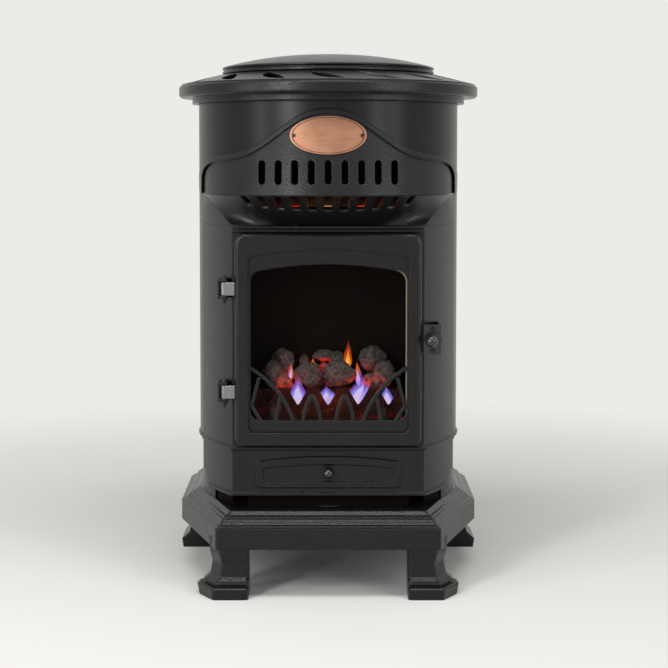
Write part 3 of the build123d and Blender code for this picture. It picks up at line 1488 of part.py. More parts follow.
# Rear catch: turning knob outside, spindle, and a tongue that turns in behind the jacket
tongue_out = jacket_radius - sheet - catch_tongue_gap
catch_seat = rear_skin_in + rear_skin + catch_gap
with BuildPart() as rear_catch:
    with BuildSketch(catch_plane(tongue_out - catch_tongue_thick)):
        Circle(catch_spindle_radius)
    extrude(amount=catch_seat - tongue_out + catch_tongue_thick)
    with BuildSketch(catch_plane(tongue_out - catch_tongue_thick)):
        with Locations((0, (catch_tongue_width - catch_tongue_length) / 2)):
            RectangleRounded(catch_tongue_width, catch_tongue_length, catch_corner)
    extrude(amount=catch_tongue_thick)
    with BuildSketch(catch_plane(catch_seat)):
        Circle(catch_knob_radius)
    extrude(amount=catch_plate_thick)
    with BuildSketch(catch_plane(catch_seat + catch_plate_thick)):
        RectangleRounded(catch_grip_width, 2 * catch_knob_radius - catch_corner, catch_corner)
    extrude(amount=catch_grip_height, taper=5)
rear_catch.part.label = "rear_catch"

with BuildPart() as rear_hinges:
    for level in rear_hinge_levels:
        for side in (1, -1):
            ear_from = level + side * (rear_knuckle_height / 2 + ear_gap)
            with BuildSketch(Plane.XY.offset(min(ear_from, ear_from + side * rear_ear_height))):
                with Locations((rear_hinge_x, rear_hinge_y)):
                    Circle(rear_knuckle_radius)
                with BuildLine():
                    foot_angle = rear_hinge_angle + 0.09
                    foot_in = jacket_radius + seat_gap / 2
                    Polyline((rear_hinge_x, rear_hinge_y),
                             (foot_in * cos(rear_hinge_angle - 0.008),
                              foot_in * sin(rear_hinge_angle - 0.008)),
                             (foot_in * cos(foot_angle), foot_in * sin(foot_angle)),
                             ((foot_in + rear_pin_radius) * cos(foot_angle),
                              (foot_in + rear_pin_radius) * sin(foot_angle)),
                             (rear_hinge_radius * cos(rear_hinge_angle + 0.015),
                              rear_hinge_radius * sin(rear_hinge_angle + 0.015)), close=True)
                make_face()
                with Locations((0, 0)):
                    Circle(jacket_radius + seat_gap / 2, mode=Mode.SUBTRACT)
                with Locations((rear_hinge_x, rear_hinge_y)):
                    Circle(rear_pin_radius + press_gap, mode=Mode.SUBTRACT)
            extrude(amount=rear_ear_height)
rear_hinges.part.label = "rear_hinges"

with BuildPart() as rear_pins:
    for level in rear_hinge_levels:
        with BuildSketch(Plane.XY.offset(level - rear_knuckle_height / 2 - rear_pin_overhang)):
            with Locations((rear_hinge_x, rear_hinge_y)):
                Circle(rear_pin_radius)
        extrude(amount=rear_knuckle_height + 2 * rear_pin_overhang)
rear_pins.part.label = "rear_pins"

pieces = (base_casting, floor_pan, lower_drum, trim_bead, jacket, surround_casting, lower_panel,
          drawer_knob, toe_plate, hood_casting, hood_grille, name_plate, plate_screws, door_frame,
          door_inset, glass_gasket, door_glass, door_rope, glass_clips, hinge_brackets, hinge_pins,
          latch_bracket, latch_screws, latch_knob, firebox, heat_shield, burner_tray, burner_bar,
          pilot_parts, coal_bed, coals, louvre_rack, top_rim, pierced_ring, control_tray, lid,
          lid_bracket, lid_pin, gas_valve, gas_inlet, gas_pipe, valve_spindle, control_knob,
          igniter_body, igniter_button, rear_door, rear_catch, rear_hinges, rear_pins)
for piece in pieces:
    export_step(piece.part, "parts/" + piece.part.label + ".step")
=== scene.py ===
import math
import random

import bmesh
import bpy
from bpy.props import FloatProperty, FloatVectorProperty, PointerProperty
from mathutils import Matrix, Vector, noise


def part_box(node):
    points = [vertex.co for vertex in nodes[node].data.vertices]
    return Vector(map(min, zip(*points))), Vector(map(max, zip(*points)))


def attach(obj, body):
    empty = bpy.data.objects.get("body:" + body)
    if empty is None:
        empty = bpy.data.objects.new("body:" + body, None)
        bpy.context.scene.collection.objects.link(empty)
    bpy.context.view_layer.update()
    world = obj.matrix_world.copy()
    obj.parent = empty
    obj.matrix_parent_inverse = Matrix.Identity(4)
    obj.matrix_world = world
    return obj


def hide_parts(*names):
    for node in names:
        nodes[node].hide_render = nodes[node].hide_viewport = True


bl_info = {
    "name": "Stove Gas Heater",
    "version": (1, 0, 0),
    "blender": (4, 5, 0),
    "location": "3D View > Sidebar > Stove",
    "description": "Dresses the packed stove heater with its finishes, fire, rope and stage",
    "category": "Object",
}

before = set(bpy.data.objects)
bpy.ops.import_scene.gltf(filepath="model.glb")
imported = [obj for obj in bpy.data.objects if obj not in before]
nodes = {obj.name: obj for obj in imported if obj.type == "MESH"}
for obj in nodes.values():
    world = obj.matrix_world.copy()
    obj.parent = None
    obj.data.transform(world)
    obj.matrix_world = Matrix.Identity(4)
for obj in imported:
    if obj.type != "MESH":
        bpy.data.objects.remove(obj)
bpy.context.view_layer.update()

MM = 0.001
EDGE_SAMPLES = 16
SHARP_ANGLE = math.radians(32)


def linear(hex_value):
    """An sRGB hex value as linear red, green, blue and an alpha of 1."""
    parts = [int(hex_value[i:i + 2], 16) / 255 for i in (1, 3, 5)]
    return [c / 12.92 if c <= 0.04045 else ((c + 0.055) / 1.055) ** 2.4 for c in parts] + [1.0]


def shade(colour, share):
    """A colour made darker by a share, with an alpha of 1."""
    return [c * share for c in colour[:3]] + [1.0]


def size_setting(name, description, millimetres, least=0.05):
    """A size that a user can change, given in millimetres and kept in metres."""
    return FloatProperty(name=name, description=description, default=millimetres * MM,
                         min=least * MM, subtype="DISTANCE")


def colour_setting(name, description, hex_value):
    """A colour that a user can change, given as an sRGB hex value and kept linear."""
    return FloatVectorProperty(name=name, description=description, default=linear(hex_value),
                               size=4, min=0.0, max=1.0, subtype="COLOR")


class StoveSizes(bpy.types.PropertyGroup):
    """Sizes of the grain, lines and clouds in the finishes, and of the rounded edges."""

    cast_grain: size_setting("Casting grain", "Sand grain on the castings", 3.2)
    cast_depth: size_setting("Casting relief", "Depth of the sand grain", 0.4, least=0.0)
    paint_cloud: size_setting(
        "Paint cloud", "Size of the patches where the stove paint lies thinner", 71.4)
    cast_edge: size_setting(
        "Painted cast edge", "How far the highlight runs over a cast edge", 2.56)
    cast_round: size_setting("Casting edge rounding", "Rounding of the cast edges", 1.6)
    bracket_round: size_setting(
        "Bracket edge rounding", "Rounding of the hinge brackets' edges", 0.8)
    fence_round: size_setting(
        "Fence edge rounding", "Rounding of the fence bars and window edge", 2.24)
    peel: size_setting("Paint peel", "Width of the ripples in the sprayed paint", 3.2)
    peel_depth: size_setting(
        "Paint peel depth", "Depth of the ripples in the sprayed paint", 0.05, least=0.0)
    jacket_cloud: size_setting(
        "Jacket cloud", "Size of the duller and glossier patches on the jacket", 111.0)
    sheet_edge: size_setting(
        "Painted sheet edge", "How far the highlight runs over a sheet edge", 0.875)
    sheet_round: size_setting("Sheet edge rounding", "Rounding of the sheet steel edges", 0.35)
    heat_bloom: size_setting(
        "Heat bloom", "Size of the brown clouds on steel that has been hot", 45.5)
    knob_wear: size_setting("Knob wear", "Size of the worn specks on the enamelled knobs", 3.85)
    knob_round: size_setting("Knob edge rounding", "Rounding of the knobs' edges", 0.4)
    small_round: size_setting(
        "Small edge rounding", "Rounding of pins, screws and burner sheets", 0.2)
    brass_round: size_setting("Brass edge rounding", "Rounding of the turned brass parts", 0.3)
    plastic_round: size_setting(
        "Plastic edge rounding", "Rounding of the moulded plastic parts", 0.5)
    spark_grain: size_setting("Moulding grain", "Spark-eroded grain on the plastic parts", 0.71)
    plate_brush: size_setting(
        "Copper brush line", "Spacing of the brush lines on the copper plate", 0.9)
    plate_cloud: size_setting(
        "Copper cloud", "Size of the cloudy patches on the copper plate", 26.3)
    # The plate line is painted shade: a dark line standing in for the shadow at the plate's edge.
    plate_shade_line: size_setting("Plate line", "Width of the dark line round the copper plate", 1.4)
    glass_smoke: size_setting("Glass smoke", "Size of the hazier patches on the glass", 91.0)
    yarn: size_setting("Yarn", "Spacing of the yarns in the rope and gasket", 1.11)
    coal_grain: size_setting("Coal grain", "Size of the pits on the ceramic coals", 5.0)
    coal_depth: size_setting(
        "Coal relief", "Depth of the pits on the ceramic coals", 1.1, least=0.0)
    hot_patch: size_setting("Hot patch", "Size of the glowing patches on the ceramic", 14.3)
    bed_round: size_setting("Bed edge rounding", "Rounding of the ceramic bed's edges", 1.5)
    flame_drift: size_setting("Flame drift", "Size of the swirls in the flames' colour", 11.1)


class StoveColours(bpy.types.PropertyGroup):
    """Colours of the finishes, written as sRGB hex values."""

    cast_paint: colour_setting("Stove paint", "Satin black paint on the castings", "#0C0C0D")
    cast_paint_thin: colour_setting(
        "Thin stove paint", "Where the stove paint lies thinner", "#121213")
    bare_iron: colour_setting("Bare iron", "Light grey of the ground hinge straps", "#7E7E80")
    jacket: colour_setting("Jacket", "Satin black of the sheet steel jacket", "#0D0D0E")
    enamel: colour_setting("Enamel", "Polished black of the knobs", "#151516")
    inner_steel: colour_setting("Inner steel", "Dull dark steel inside", "#0C0807")
    inner_bloom: colour_setting(
        "Bloom on the inner steel", "Brown where the steel has been hottest", "#160E0B")
    copper: colour_setting("Copper", "Brushed copper of the oval plate", "#B0846A")
    copper_dark: colour_setting(
        "Copper in the brush lines", "Deeper tone of the copper", "#74452F")
    # Painted shade: the dark line round the copper plate stands in for the shadow at its edge.
    plate_shade_line: colour_setting("Plate line", "Dark line round the copper plate", "#2A1A14")
    glass: colour_setting("Glass", "What the clear glass lets through", "#F7F7F6")
    rope: colour_setting("Rope", "Glass-fibre rope and gasket", "#B5A88E")
    rope_crease: colour_setting("Rope creases", "Darker creases between the yarns", "#7E735F")
    # Painted shade: the near-black laid over most of the gasket, which stays beige only near the
    # glass's right edge.
    painted_shade: colour_setting("Gasket shade", "Painted shade on the gasket", "#12100F")
    coal: colour_setting("Coal", "Ash grey of the coals", "#6C6462")
    # Painted shade in the coals' pits.
    coal_pit_shade: colour_setting("Coal in the pits", "Painted shade in the coals' pits", "#151211")
    bed: colour_setting("Bed", "Red-brown of the hot bed", "#36150F")
    # Painted shade in the bed's pits.
    bed_pit_shade: colour_setting("Bed in the pits", "Darker brown of the bed's pits", "#1E0D0B")
    ember: colour_setting("Ember", "Glow of the hot places", "#FF4A1C")
    brass: colour_setting("Brass", "Turned brass of the gas parts", "#C9A35C")
    zinc: colour_setting("Zinc", "Zinc plated steel of pins and clips", "#B4B5B8")
    black_steel: colour_setting("Blackened steel", "Screws and hinge pins", "#3A3634")
    burner_steel: colour_setting(
        "Burner steel", "Heat-tinted stainless steel of the burner", "#4A4440")
    louvre: colour_setting("Louvre bars", "Straw-tinted stainless steel", "#C4AC8C")
    plastic: colour_setting("Plastic", "Moulded black plastic of the controls", "#1E1E1F")
    paper: colour_setting("Studio paper", "Pale floor and backdrop", "#ECEBE8")


class StoveCamera(bpy.types.PropertyGroup):
    """Where the photograph was taken from."""

    distance: FloatProperty(
        name="Distance", description="From the cabinet's axis to the lens",
        default=2.378, subtype="DISTANCE")
    height: FloatProperty(
        name="Height", description="Lens above the floor", default=0.631, subtype="DISTANCE")
    lens: FloatProperty(
        name="Lens", description="Focal length, mm", default=83.44, unit="CAMERA")
    shift_x: FloatProperty(
        name="Shift across", description="Sideways shift, as a share of the frame's width",
        default=0.00868, subtype="FACTOR")
    shift_y: FloatProperty(
        name="Shift up", description="Upward shift, as a share of the frame's width",
        default=-0.125, subtype="FACTOR")
    pitch: FloatProperty(
        name="Pitch", description="Downward tilt", default=math.radians(3.493),
        subtype="ANGLE")


def add_node(tree, kind, settings=None, values=None, links=None):
    """Add a node: settings are its properties, values its plain inputs, links its fed inputs."""
    node = tree.nodes.new(kind)
    for name, value in (settings or {}).items():
        setattr(node, name, value)
    for name, value in (values or {}).items():
        node.inputs[name].default_value = value
    for name, socket in (links or {}).items():
        tree.links.new(socket, node.inputs[name])
    return node


def new_material(name):
    """An empty node material with its output node and a source of object coordinates."""
    material = bpy.data.materials.new(name)
    material.use_nodes = True
    tree = material.node_tree
    tree.nodes.clear()
    output = add_node(tree, "ShaderNodeOutputMaterial")
    coords = add_node(tree, "ShaderNodeTexCoord").outputs["Object"]
    return material, tree, output, coords


def stove_paint(name="stove_paint_on_sand_cast_iron", bare_beyond=None):
    """Satin heat-proof paint sprayed on sand-cast iron: a fine sandy skin with soft highlights.

    Left of bare_beyond, in metres, the iron is ground bare and looks light grey.
    """
    sizes = bpy.context.scene.stove_sizes
    colours = bpy.context.scene.stove_colours
    material, tree, output, coords = new_material(name)
    # The real grain is about 0.8 mm; it is drawn coarser so that it shows in the render.
    grain = add_node(tree, "ShaderNodeTexNoise",
                     values={"Scale": 1 / sizes.cast_grain, "Detail": 4.0, "Roughness": 0.6},
                     links={"Vector": coords})
    patches = add_node(tree, "ShaderNodeTexNoise",
                       values={"Scale": 1 / sizes.paint_cloud, "Detail": 3.0},
                       links={"Vector": coords})
    tone = add_node(tree, "ShaderNodeMix", {"data_type": "RGBA"},
                    {"A": colours.cast_paint, "B": colours.cast_paint_thin},
                    {"Factor": patches.outputs["Fac"]})
    sheen = add_node(tree, "ShaderNodeMapRange",
                     values={"From Min": 0.3, "From Max": 0.7, "To Min": 0.24, "To Max": 0.36},
                     links={"Value": grain.outputs["Fac"]})
    # Paint draws back from an edge, so the highlight turns smoothly over it.
    edges = add_node(tree, "ShaderNodeBevel", {"samples": EDGE_SAMPLES},
                     {"Radius": sizes.cast_edge})
    bump = add_node(tree, "ShaderNodeBump",
                    values={"Strength": 0.8, "Distance": sizes.cast_depth},
                    links={"Height": grain.outputs["Fac"], "Normal": edges.outputs["Normal"]})
    shader = add_node(tree, "ShaderNodeBsdfPrincipled",
                      values={"IOR": 1.5, "Specular IOR Level": 0.30},
                      links={"Base Color": tone.outputs["Result"],
                             "Roughness": sheen.outputs["Result"],
                             "Normal": bump.outputs["Normal"]})
    surface = shader.outputs["BSDF"]
    if bare_beyond is not None:
        ground = add_node(tree, "ShaderNodeBsdfPrincipled",
                          values={"Base Color": colours.bare_iron, "Metallic": 0.7},
                          links={"Roughness": sheen.outputs["Result"],
                                 "Normal": bump.outputs["Normal"]})
        place = add_node(tree, "ShaderNodeSeparateXYZ", links={"Vector": coords})
        bare = add_node(tree, "ShaderNodeMath", {"operation": "LESS_THAN"}, {1: bare_beyond},
                        {0: place.outputs["X"]})
        surface = add_node(tree, "ShaderNodeMixShader",
                           links={"Fac": bare.outputs["Value"], 1: surface,
                                  2: ground.outputs["BSDF"]}).outputs["Shader"]
    tree.links.new(surface, output.inputs["Surface"])
    return material


def jacket_paint():
    """Satin powder paint on rolled sheet steel: smooth, with a faint ripple in the highlights."""
    sizes = bpy.context.scene.stove_sizes
    colours = bpy.context.scene.stove_colours
    material, tree, output, coords = new_material("satin_powder_paint_on_sheet_steel")
    ripple = add_node(tree, "ShaderNodeTexNoise",
                      values={"Scale": 1 / sizes.peel, "Detail": 2.0},
                      links={"Vector": coords})
    haze = add_node(tree, "ShaderNodeTexNoise",
                    values={"Scale": 1 / sizes.jacket_cloud, "Detail": 2.0},
                    links={"Vector": coords})
    sheen = add_node(tree, "ShaderNodeMapRange", values={"To Min": 0.27, "To Max": 0.35},
                     links={"Value": haze.outputs["Fac"]})
    edges = add_node(tree, "ShaderNodeBevel", {"samples": EDGE_SAMPLES},
                     {"Radius": sizes.sheet_edge})
    bump = add_node(tree, "ShaderNodeBump",
                    values={"Strength": 0.18, "Distance": sizes.peel_depth},
                    links={"Height": ripple.outputs["Fac"], "Normal": edges.outputs["Normal"]})
    shader = add_node(tree, "ShaderNodeBsdfPrincipled",
                      values={"Base Color": colours.jacket, "IOR": 1.5,
                              "Specular IOR Level": 0.25},
                      links={"Roughness": sheen.outputs["Result"],
                             "Normal": bump.outputs["Normal"]})
    tree.links.new(shader.outputs["BSDF"], output.inputs["Surface"])
    return material


def knob_enamel():
    """Polished black enamel on turned steel: a dark ball with a sharp highlight."""
    sizes = bpy.context.scene.stove_sizes
    colours = bpy.context.scene.stove_colours
    material, tree, output, coords = new_material("polished_black_enamel")
    wear = add_node(tree, "ShaderNodeTexNoise",
                    values={"Scale": 1 / sizes.knob_wear, "Detail": 3.0},
                    links={"Vector": coords})
    sheen = add_node(tree, "ShaderNodeMapRange", values={"To Min": 0.16, "To Max": 0.28},
                     links={"Value": wear.outputs["Fac"]})
    shader = add_node(tree, "ShaderNodeBsdfPrincipled",
                      values={"Base Color": colours.enamel, "Coat Weight": 0.3,
                              "Coat Roughness": 0.08},
                      links={"Roughness": sheen.outputs["Result"]})
    tree.links.new(shader.outputs["BSDF"], output.inputs["Surface"])
    return material


def heat_dulled_steel():
    """Dull black sheet steel that has been hot: matt, with a brown bloom."""
    sizes = bpy.context.scene.stove_sizes
    colours = bpy.context.scene.stove_colours
    material, tree, output, coords = new_material("heat_dulled_sheet_steel")
    bloom = add_node(tree, "ShaderNodeTexNoise",
                     values={"Scale": 1 / sizes.heat_bloom, "Detail": 5.0},
                     links={"Vector": coords})
    tone = add_node(tree, "ShaderNodeMix", {"data_type": "RGBA"},
                    {"A": colours.inner_steel, "B": colours.inner_bloom},
                    {"Factor": bloom.outputs["Fac"]})
    bump = add_node(tree, "ShaderNodeBump", values={"Strength": 0.2, "Distance": 0.1 * MM},
                    links={"Height": bloom.outputs["Fac"]})
    shader = add_node(tree, "ShaderNodeBsdfPrincipled",
                      values={"Roughness": 0.7, "Specular IOR Level": 0.04},
                      links={"Base Color": tone.outputs["Result"],
                             "Normal": bump.outputs["Normal"]})
    tree.links.new(shader.outputs["BSDF"], output.inputs["Surface"])
    return material


def brushed_metal(name, colour, roughness, line, along):
    """Metal brushed one way: fine parallel lines that stretch the highlight across them.

    line is the spacing of the brush lines in metres, and along the axis that they run along.
    """
    line_length = 40
    groove = 0.72
    material, tree, output, coords = new_material(name)
    stretch = [1 / line, 1 / line, 1 / line]
    stretch["XYZ".index(along)] /= line_length
    lines = add_node(tree, "ShaderNodeMapping", values={"Scale": stretch},
                     links={"Vector": coords})
    streak = add_node(tree, "ShaderNodeTexNoise", values={"Scale": 1.0, "Detail": 3.0},
                      links={"Vector": lines.outputs["Vector"]})
    tone = add_node(tree, "ShaderNodeMix", {"data_type": "RGBA"},
                    {"A": shade(colour, groove), "B": colour},
                    {"Factor": streak.outputs["Fac"]})
    sheen = add_node(tree, "ShaderNodeMapRange",
                     values={"To Min": roughness - 0.07, "To Max": roughness + 0.09},
                     links={"Value": streak.outputs["Fac"]})
    bump = add_node(tree, "ShaderNodeBump", values={"Strength": 0.25, "Distance": 0.03 * MM},
                    links={"Height": streak.outputs["Fac"]})
    shader = add_node(tree, "ShaderNodeBsdfPrincipled", values={"Metallic": 1.0},
                      links={"Base Color": tone.outputs["Result"],
                             "Roughness": sheen.outputs["Result"],
                             "Normal": bump.outputs["Normal"]})
    tree.links.new(shader.outputs["BSDF"], output.inputs["Surface"])
    return material


def copper_sheet():
    """Brushed and lacquered copper: warm, bright, with soft cloudy bands along the brushing, and a
    dark line of painted shade near its rim.
    """
    sizes = bpy.context.scene.stove_sizes
    colours = bpy.context.scene.stove_colours
    material, tree, output, coords = new_material("brushed_lacquered_copper")
    fine = 1 / sizes.plate_brush
    lines = add_node(tree, "ShaderNodeMapping", values={"Scale": (fine / 30, fine / 6, fine)},
                     links={"Vector": coords})
    streak = add_node(tree, "ShaderNodeTexNoise", values={"Scale": 1.0, "Detail": 4.0},
                      links={"Vector": lines.outputs["Vector"]})
    cloud = add_node(tree, "ShaderNodeTexNoise",
                     values={"Scale": 1 / sizes.plate_cloud, "Detail": 3.0},
                     links={"Vector": coords})
    # The bright tone's share is 0.7 of the brush lines and 0.6 of the clouds, less 0.05.
    mottle = add_node(tree, "ShaderNodeMath", {"operation": "MULTIPLY_ADD"},
                      {1: 0.7, 2: -0.05}, {0: streak.outputs["Fac"]})
    mottle = add_node(tree, "ShaderNodeMath", {"operation": "MULTIPLY_ADD"},
                      {1: 0.6}, {0: cloud.outputs["Fac"], 2: mottle.outputs["Value"]})
    tone = add_node(tree, "ShaderNodeMix", {"data_type": "RGBA"},
                    {"A": colours.copper_dark, "B": colours.copper},
                    {"Factor": mottle.outputs["Value"]})
    # A dark line of painted shade round the plate, standing in for the shadow at its edge: how far
    # out a point lies, as a share of the oval's own half axes.
    shade_ring_at = 0.93
    low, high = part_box("name_plate")
    middle = [(a + b) / 2 for a, b in zip(low, high)]
    half = [(b - a) / 2 for a, b in zip(low, high)]
    oval = add_node(tree, "ShaderNodeMapping", {"vector_type": "TEXTURE"},
                    {"Location": (middle[0], 0.0, middle[2]), "Scale": (half[0], 1.0, half[2])},
                    {"Vector": coords})
    flat = add_node(tree, "ShaderNodeVectorMath", {"operation": "MULTIPLY"},
                    {1: (1.0, 0.0, 1.0)}, {0: oval.outputs["Vector"]})
    reach = add_node(tree, "ShaderNodeVectorMath", {"operation": "LENGTH"},
                     links={0: flat.outputs["Vector"]})
    shade_ring = add_node(tree, "ShaderNodeMath", {"operation": "COMPARE"},
                      {1: shade_ring_at, 2: sizes.plate_shade_line / half[0] / 2},
                      {0: reach.outputs["Value"]})
    shade_lined = add_node(tree, "ShaderNodeMix", {"data_type": "RGBA"}, {"B": colours.plate_shade_line},
                     {"Factor": shade_ring.outputs["Value"], "A": tone.outputs["Result"]})
    bump = add_node(tree, "ShaderNodeBump", values={"Strength": 0.3, "Distance": 0.04 * MM},
                    links={"Height": streak.outputs["Fac"]})
    shader = add_node(tree, "ShaderNodeBsdfPrincipled",
                      values={"Metallic": 0.85, "Roughness": 0.4},
                      links={"Base Color": shade_lined.outputs["Result"],
                             "Normal": bump.outputs["Normal"]})
    tree.links.new(shader.outputs["BSDF"], output.inputs["Surface"])
    return material


def stove_glass():
    """Clear ceramic glass: the fire shows through it, with a thin reflection over it."""
    sizes = bpy.context.scene.stove_sizes
    colours = bpy.context.scene.stove_colours
    material, tree, output, coords = new_material("clear_heat_proof_glass")
    gleam = add_node(tree, "ShaderNodeFresnel", values={"IOR": 1.07})
    smoke = add_node(tree, "ShaderNodeTexNoise",
                     values={"Scale": 1 / sizes.glass_smoke, "Detail": 2.0},
                     links={"Vector": coords})
    haze = add_node(tree, "ShaderNodeMapRange", values={"To Min": 0.02, "To Max": 0.07},
                    links={"Value": smoke.outputs["Fac"]})
    clear = add_node(tree, "ShaderNodeBsdfTransparent", values={"Color": colours.glass})
    shine = add_node(tree, "ShaderNodeBsdfGlossy", values={"Color": (0.9, 0.9, 0.9, 1.0)},
                     links={"Roughness": haze.outputs["Result"]})
    mixed = add_node(tree, "ShaderNodeMixShader",
                     links={"Fac": gleam.outputs["Fac"], 1: clear.outputs["BSDF"],
                            2: shine.outputs["BSDF"]})
    tree.links.new(mixed.outputs["Shader"], output.inputs["Surface"])
    return material


def rope_yarn(name, shade_left, shade_right):
    """Glass-fibre rope: matt beige yarn with darker creases, with painted shade over it by a share
    on each side.

    The painted shade changes from one share to the other just inside the glass's right edge, so
    the gasket is painted dark except near that edge.
    """
    sizes = bpy.context.scene.stove_sizes
    colours = bpy.context.scene.stove_colours
    glass_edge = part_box("door_glass")[1][0]
    material, tree, output, coords = new_material(name)
    fibre = add_node(tree, "ShaderNodeTexNoise", values={"Scale": 1 / sizes.yarn, "Detail": 3.0},
                     links={"Vector": coords})
    tone = add_node(tree, "ShaderNodeMix", {"data_type": "RGBA"},
                    {"A": colours.rope_crease, "B": colours.rope},
                    {"Factor": fibre.outputs["Fac"]})
    place = add_node(tree, "ShaderNodeSeparateXYZ", links={"Vector": coords})
    painted_shade = add_node(tree, "ShaderNodeMapRange",
                    values={"From Min": glass_edge - 25.4 * MM, "From Max": glass_edge - 8.4 * MM,
                            "To Min": shade_left, "To Max": shade_right},
                    links={"Value": place.outputs["X"]})
    tone = add_node(tree, "ShaderNodeMix", {"data_type": "RGBA"}, {"B": colours.painted_shade},
                    {"Factor": painted_shade.outputs["Result"], "A": tone.outputs["Result"]})
    bump = add_node(tree, "ShaderNodeBump", values={"Strength": 0.5, "Distance": 0.2 * MM},
                    links={"Height": fibre.outputs["Fac"]})
    shader = add_node(tree, "ShaderNodeBsdfPrincipled",
                      values={"Roughness": 0.9},
                      links={"Base Color": tone.outputs["Result"],
                             "Normal": bump.outputs["Normal"]})
    tree.links.new(shader.outputs["BSDF"], output.inputs["Surface"])
    return material


def fired_ceramic(name, pale, pit_shade, hot_below, cold_above, glow_strength):
    """Moulded ceramic fibre: chalky and pitted, with painted shade in its pits, glowing red where
    the fire reaches it.
    """
    sizes = bpy.context.scene.stove_sizes
    colours = bpy.context.scene.stove_colours
    material, tree, output, coords = new_material(name)
    pits = add_node(tree, "ShaderNodeTexNoise",
                    values={"Scale": 1 / sizes.coal_grain, "Detail": 5.0, "Roughness": 0.65},
                    links={"Vector": coords})
    patch = add_node(tree, "ShaderNodeTexNoise",
                     values={"Scale": 1 / sizes.hot_patch, "Detail": 3.0},
                     links={"Vector": coords})
    # The pits are painted darker: painted shade where the relief is lowest.
    steep = add_node(tree, "ShaderNodeMapRange", values={"From Min": 0.28, "From Max": 0.72},
                     links={"Value": pits.outputs["Fac"]})
    tone = add_node(tree, "ShaderNodeMix", {"data_type": "RGBA"}, {"A": pit_shade, "B": pale},
                    {"Factor": steep.outputs["Result"]})
    place = add_node(tree, "ShaderNodeSeparateXYZ", links={"Vector": coords})
    low = add_node(tree, "ShaderNodeMapRange", {"interpolation_type": "SMOOTHSTEP"},
                   {"From Min": cold_above, "From Max": hot_below},
                   {"Value": place.outputs["Z"]})
    hot = add_node(tree, "ShaderNodeMapRange", {"interpolation_type": "SMOOTHSTEP"},
                   {"From Min": 0.50, "From Max": 0.72}, {"Value": patch.outputs["Fac"]})
    glow = add_node(tree, "ShaderNodeMath", {"operation": "MULTIPLY"},
                    links={0: low.outputs["Result"], 1: hot.outputs["Result"]})
    power = add_node(tree, "ShaderNodeMath", {"operation": "MULTIPLY"}, {1: glow_strength},
                     {0: glow.outputs["Value"]})
    bump = add_node(tree, "ShaderNodeBump",
                    values={"Strength": 0.9, "Distance": sizes.coal_depth},
                    links={"Height": pits.outputs["Fac"]})
    shader = add_node(tree, "ShaderNodeBsdfPrincipled",
                      values={"Roughness": 0.95, "Specular IOR Level": 0.2,
                              "Emission Color": colours.ember},
                      links={"Base Color": tone.outputs["Result"],
                             "Emission Strength": power.outputs["Value"],
                             "Normal": bump.outputs["Normal"]})
    tree.links.new(shader.outputs["BSDF"], output.inputs["Surface"])
    return material


def flame_gas(name, foot, body, tip, low, high, cover):
    """Burning gas: pale at its foot, coloured in its body, fading out towards its tip."""
    sizes = bpy.context.scene.stove_sizes
    brightness = 1.2
    material, tree, output, coords = new_material(name)
    place = add_node(tree, "ShaderNodeSeparateXYZ", links={"Vector": coords})
    rise = add_node(tree, "ShaderNodeMapRange", values={"From Min": low, "From Max": high},
                    links={"Value": place.outputs["Z"]})
    drift = add_node(tree, "ShaderNodeTexNoise",
                     values={"Scale": 1 / sizes.flame_drift, "Detail": 1.0},
                     links={"Vector": coords})
    wander = add_node(tree, "ShaderNodeMath", {"operation": "MULTIPLY_ADD"},
                      {1: 0.5, 2: -0.25}, {0: drift.outputs["Fac"]})
    level = add_node(tree, "ShaderNodeMath", {"operation": "ADD"},
                     links={0: rise.outputs["Result"], 1: wander.outputs["Value"]})
    ramp = add_node(tree, "ShaderNodeValToRGB", links={"Fac": level.outputs["Value"]})
    stops = ramp.color_ramp.elements
    stops[0].position = 0.05
    stops[0].color = linear(foot)
    stops[1].position = 0.9
    stops[1].color = linear(tip)
    stops.new(0.5).color = linear(body)
    thin = add_node(tree, "ShaderNodeMapRange",
                    values={"From Min": 0.4, "From Max": 1.1, "To Min": cover,
                            "To Max": 0.35 * cover},
                    links={"Value": level.outputs["Value"]})
    fire = add_node(tree, "ShaderNodeEmission", values={"Strength": brightness},
                    links={"Color": ramp.outputs["Color"]})
    clear = add_node(tree, "ShaderNodeBsdfTransparent")
    mixed = add_node(tree, "ShaderNodeMixShader",
                     links={"Fac": thin.outputs["Result"], 1: clear.outputs["BSDF"],
                            2: fire.outputs["Emission"]})
    tree.links.new(mixed.outputs["Shader"], output.inputs["Surface"])
    return material


def moulded_plastic():
    """Black ABS as moulded: slightly glossy with a fine spark-eroded texture."""
    sizes = bpy.context.scene.stove_sizes
    colours = bpy.context.scene.stove_colours
    material, tree, output, coords = new_material("moulded_black_abs")
    texture = add_node(tree, "ShaderNodeTexNoise",
                       values={"Scale": 1 / sizes.spark_grain, "Detail": 2.0},
                       links={"Vector": coords})
    bump = add_node(tree, "ShaderNodeBump", values={"Strength": 0.15, "Distance": 0.05 * MM},
                    links={"Height": texture.outputs["Fac"]})
    shader = add_node(tree, "ShaderNodeBsdfPrincipled",
                      values={"Base Color": colours.plastic, "Roughness": 0.38, "IOR": 1.54},
                      links={"Normal": bump.outputs["Normal"]})
    tree.links.new(shader.outputs["BSDF"], output.inputs["Surface"])
    return material


def seen_rays(tree):
    """1 for rays that the eye, a mirror or a glass sends out, and 0 for the light's own."""
    path = add_node(tree, "ShaderNodeLightPath")
    seen = add_node(tree, "ShaderNodeMath", {"operation": "MAXIMUM"},
                    links={0: path.outputs["Is Camera Ray"],
                           1: path.outputs["Is Transmission Ray"]})
    seen = add_node(tree, "ShaderNodeMath", {"operation": "MAXIMUM"},
                    links={0: path.outputs["Is Glossy Ray"], 1: seen.outputs["Value"]})
    return seen.outputs["Value"]


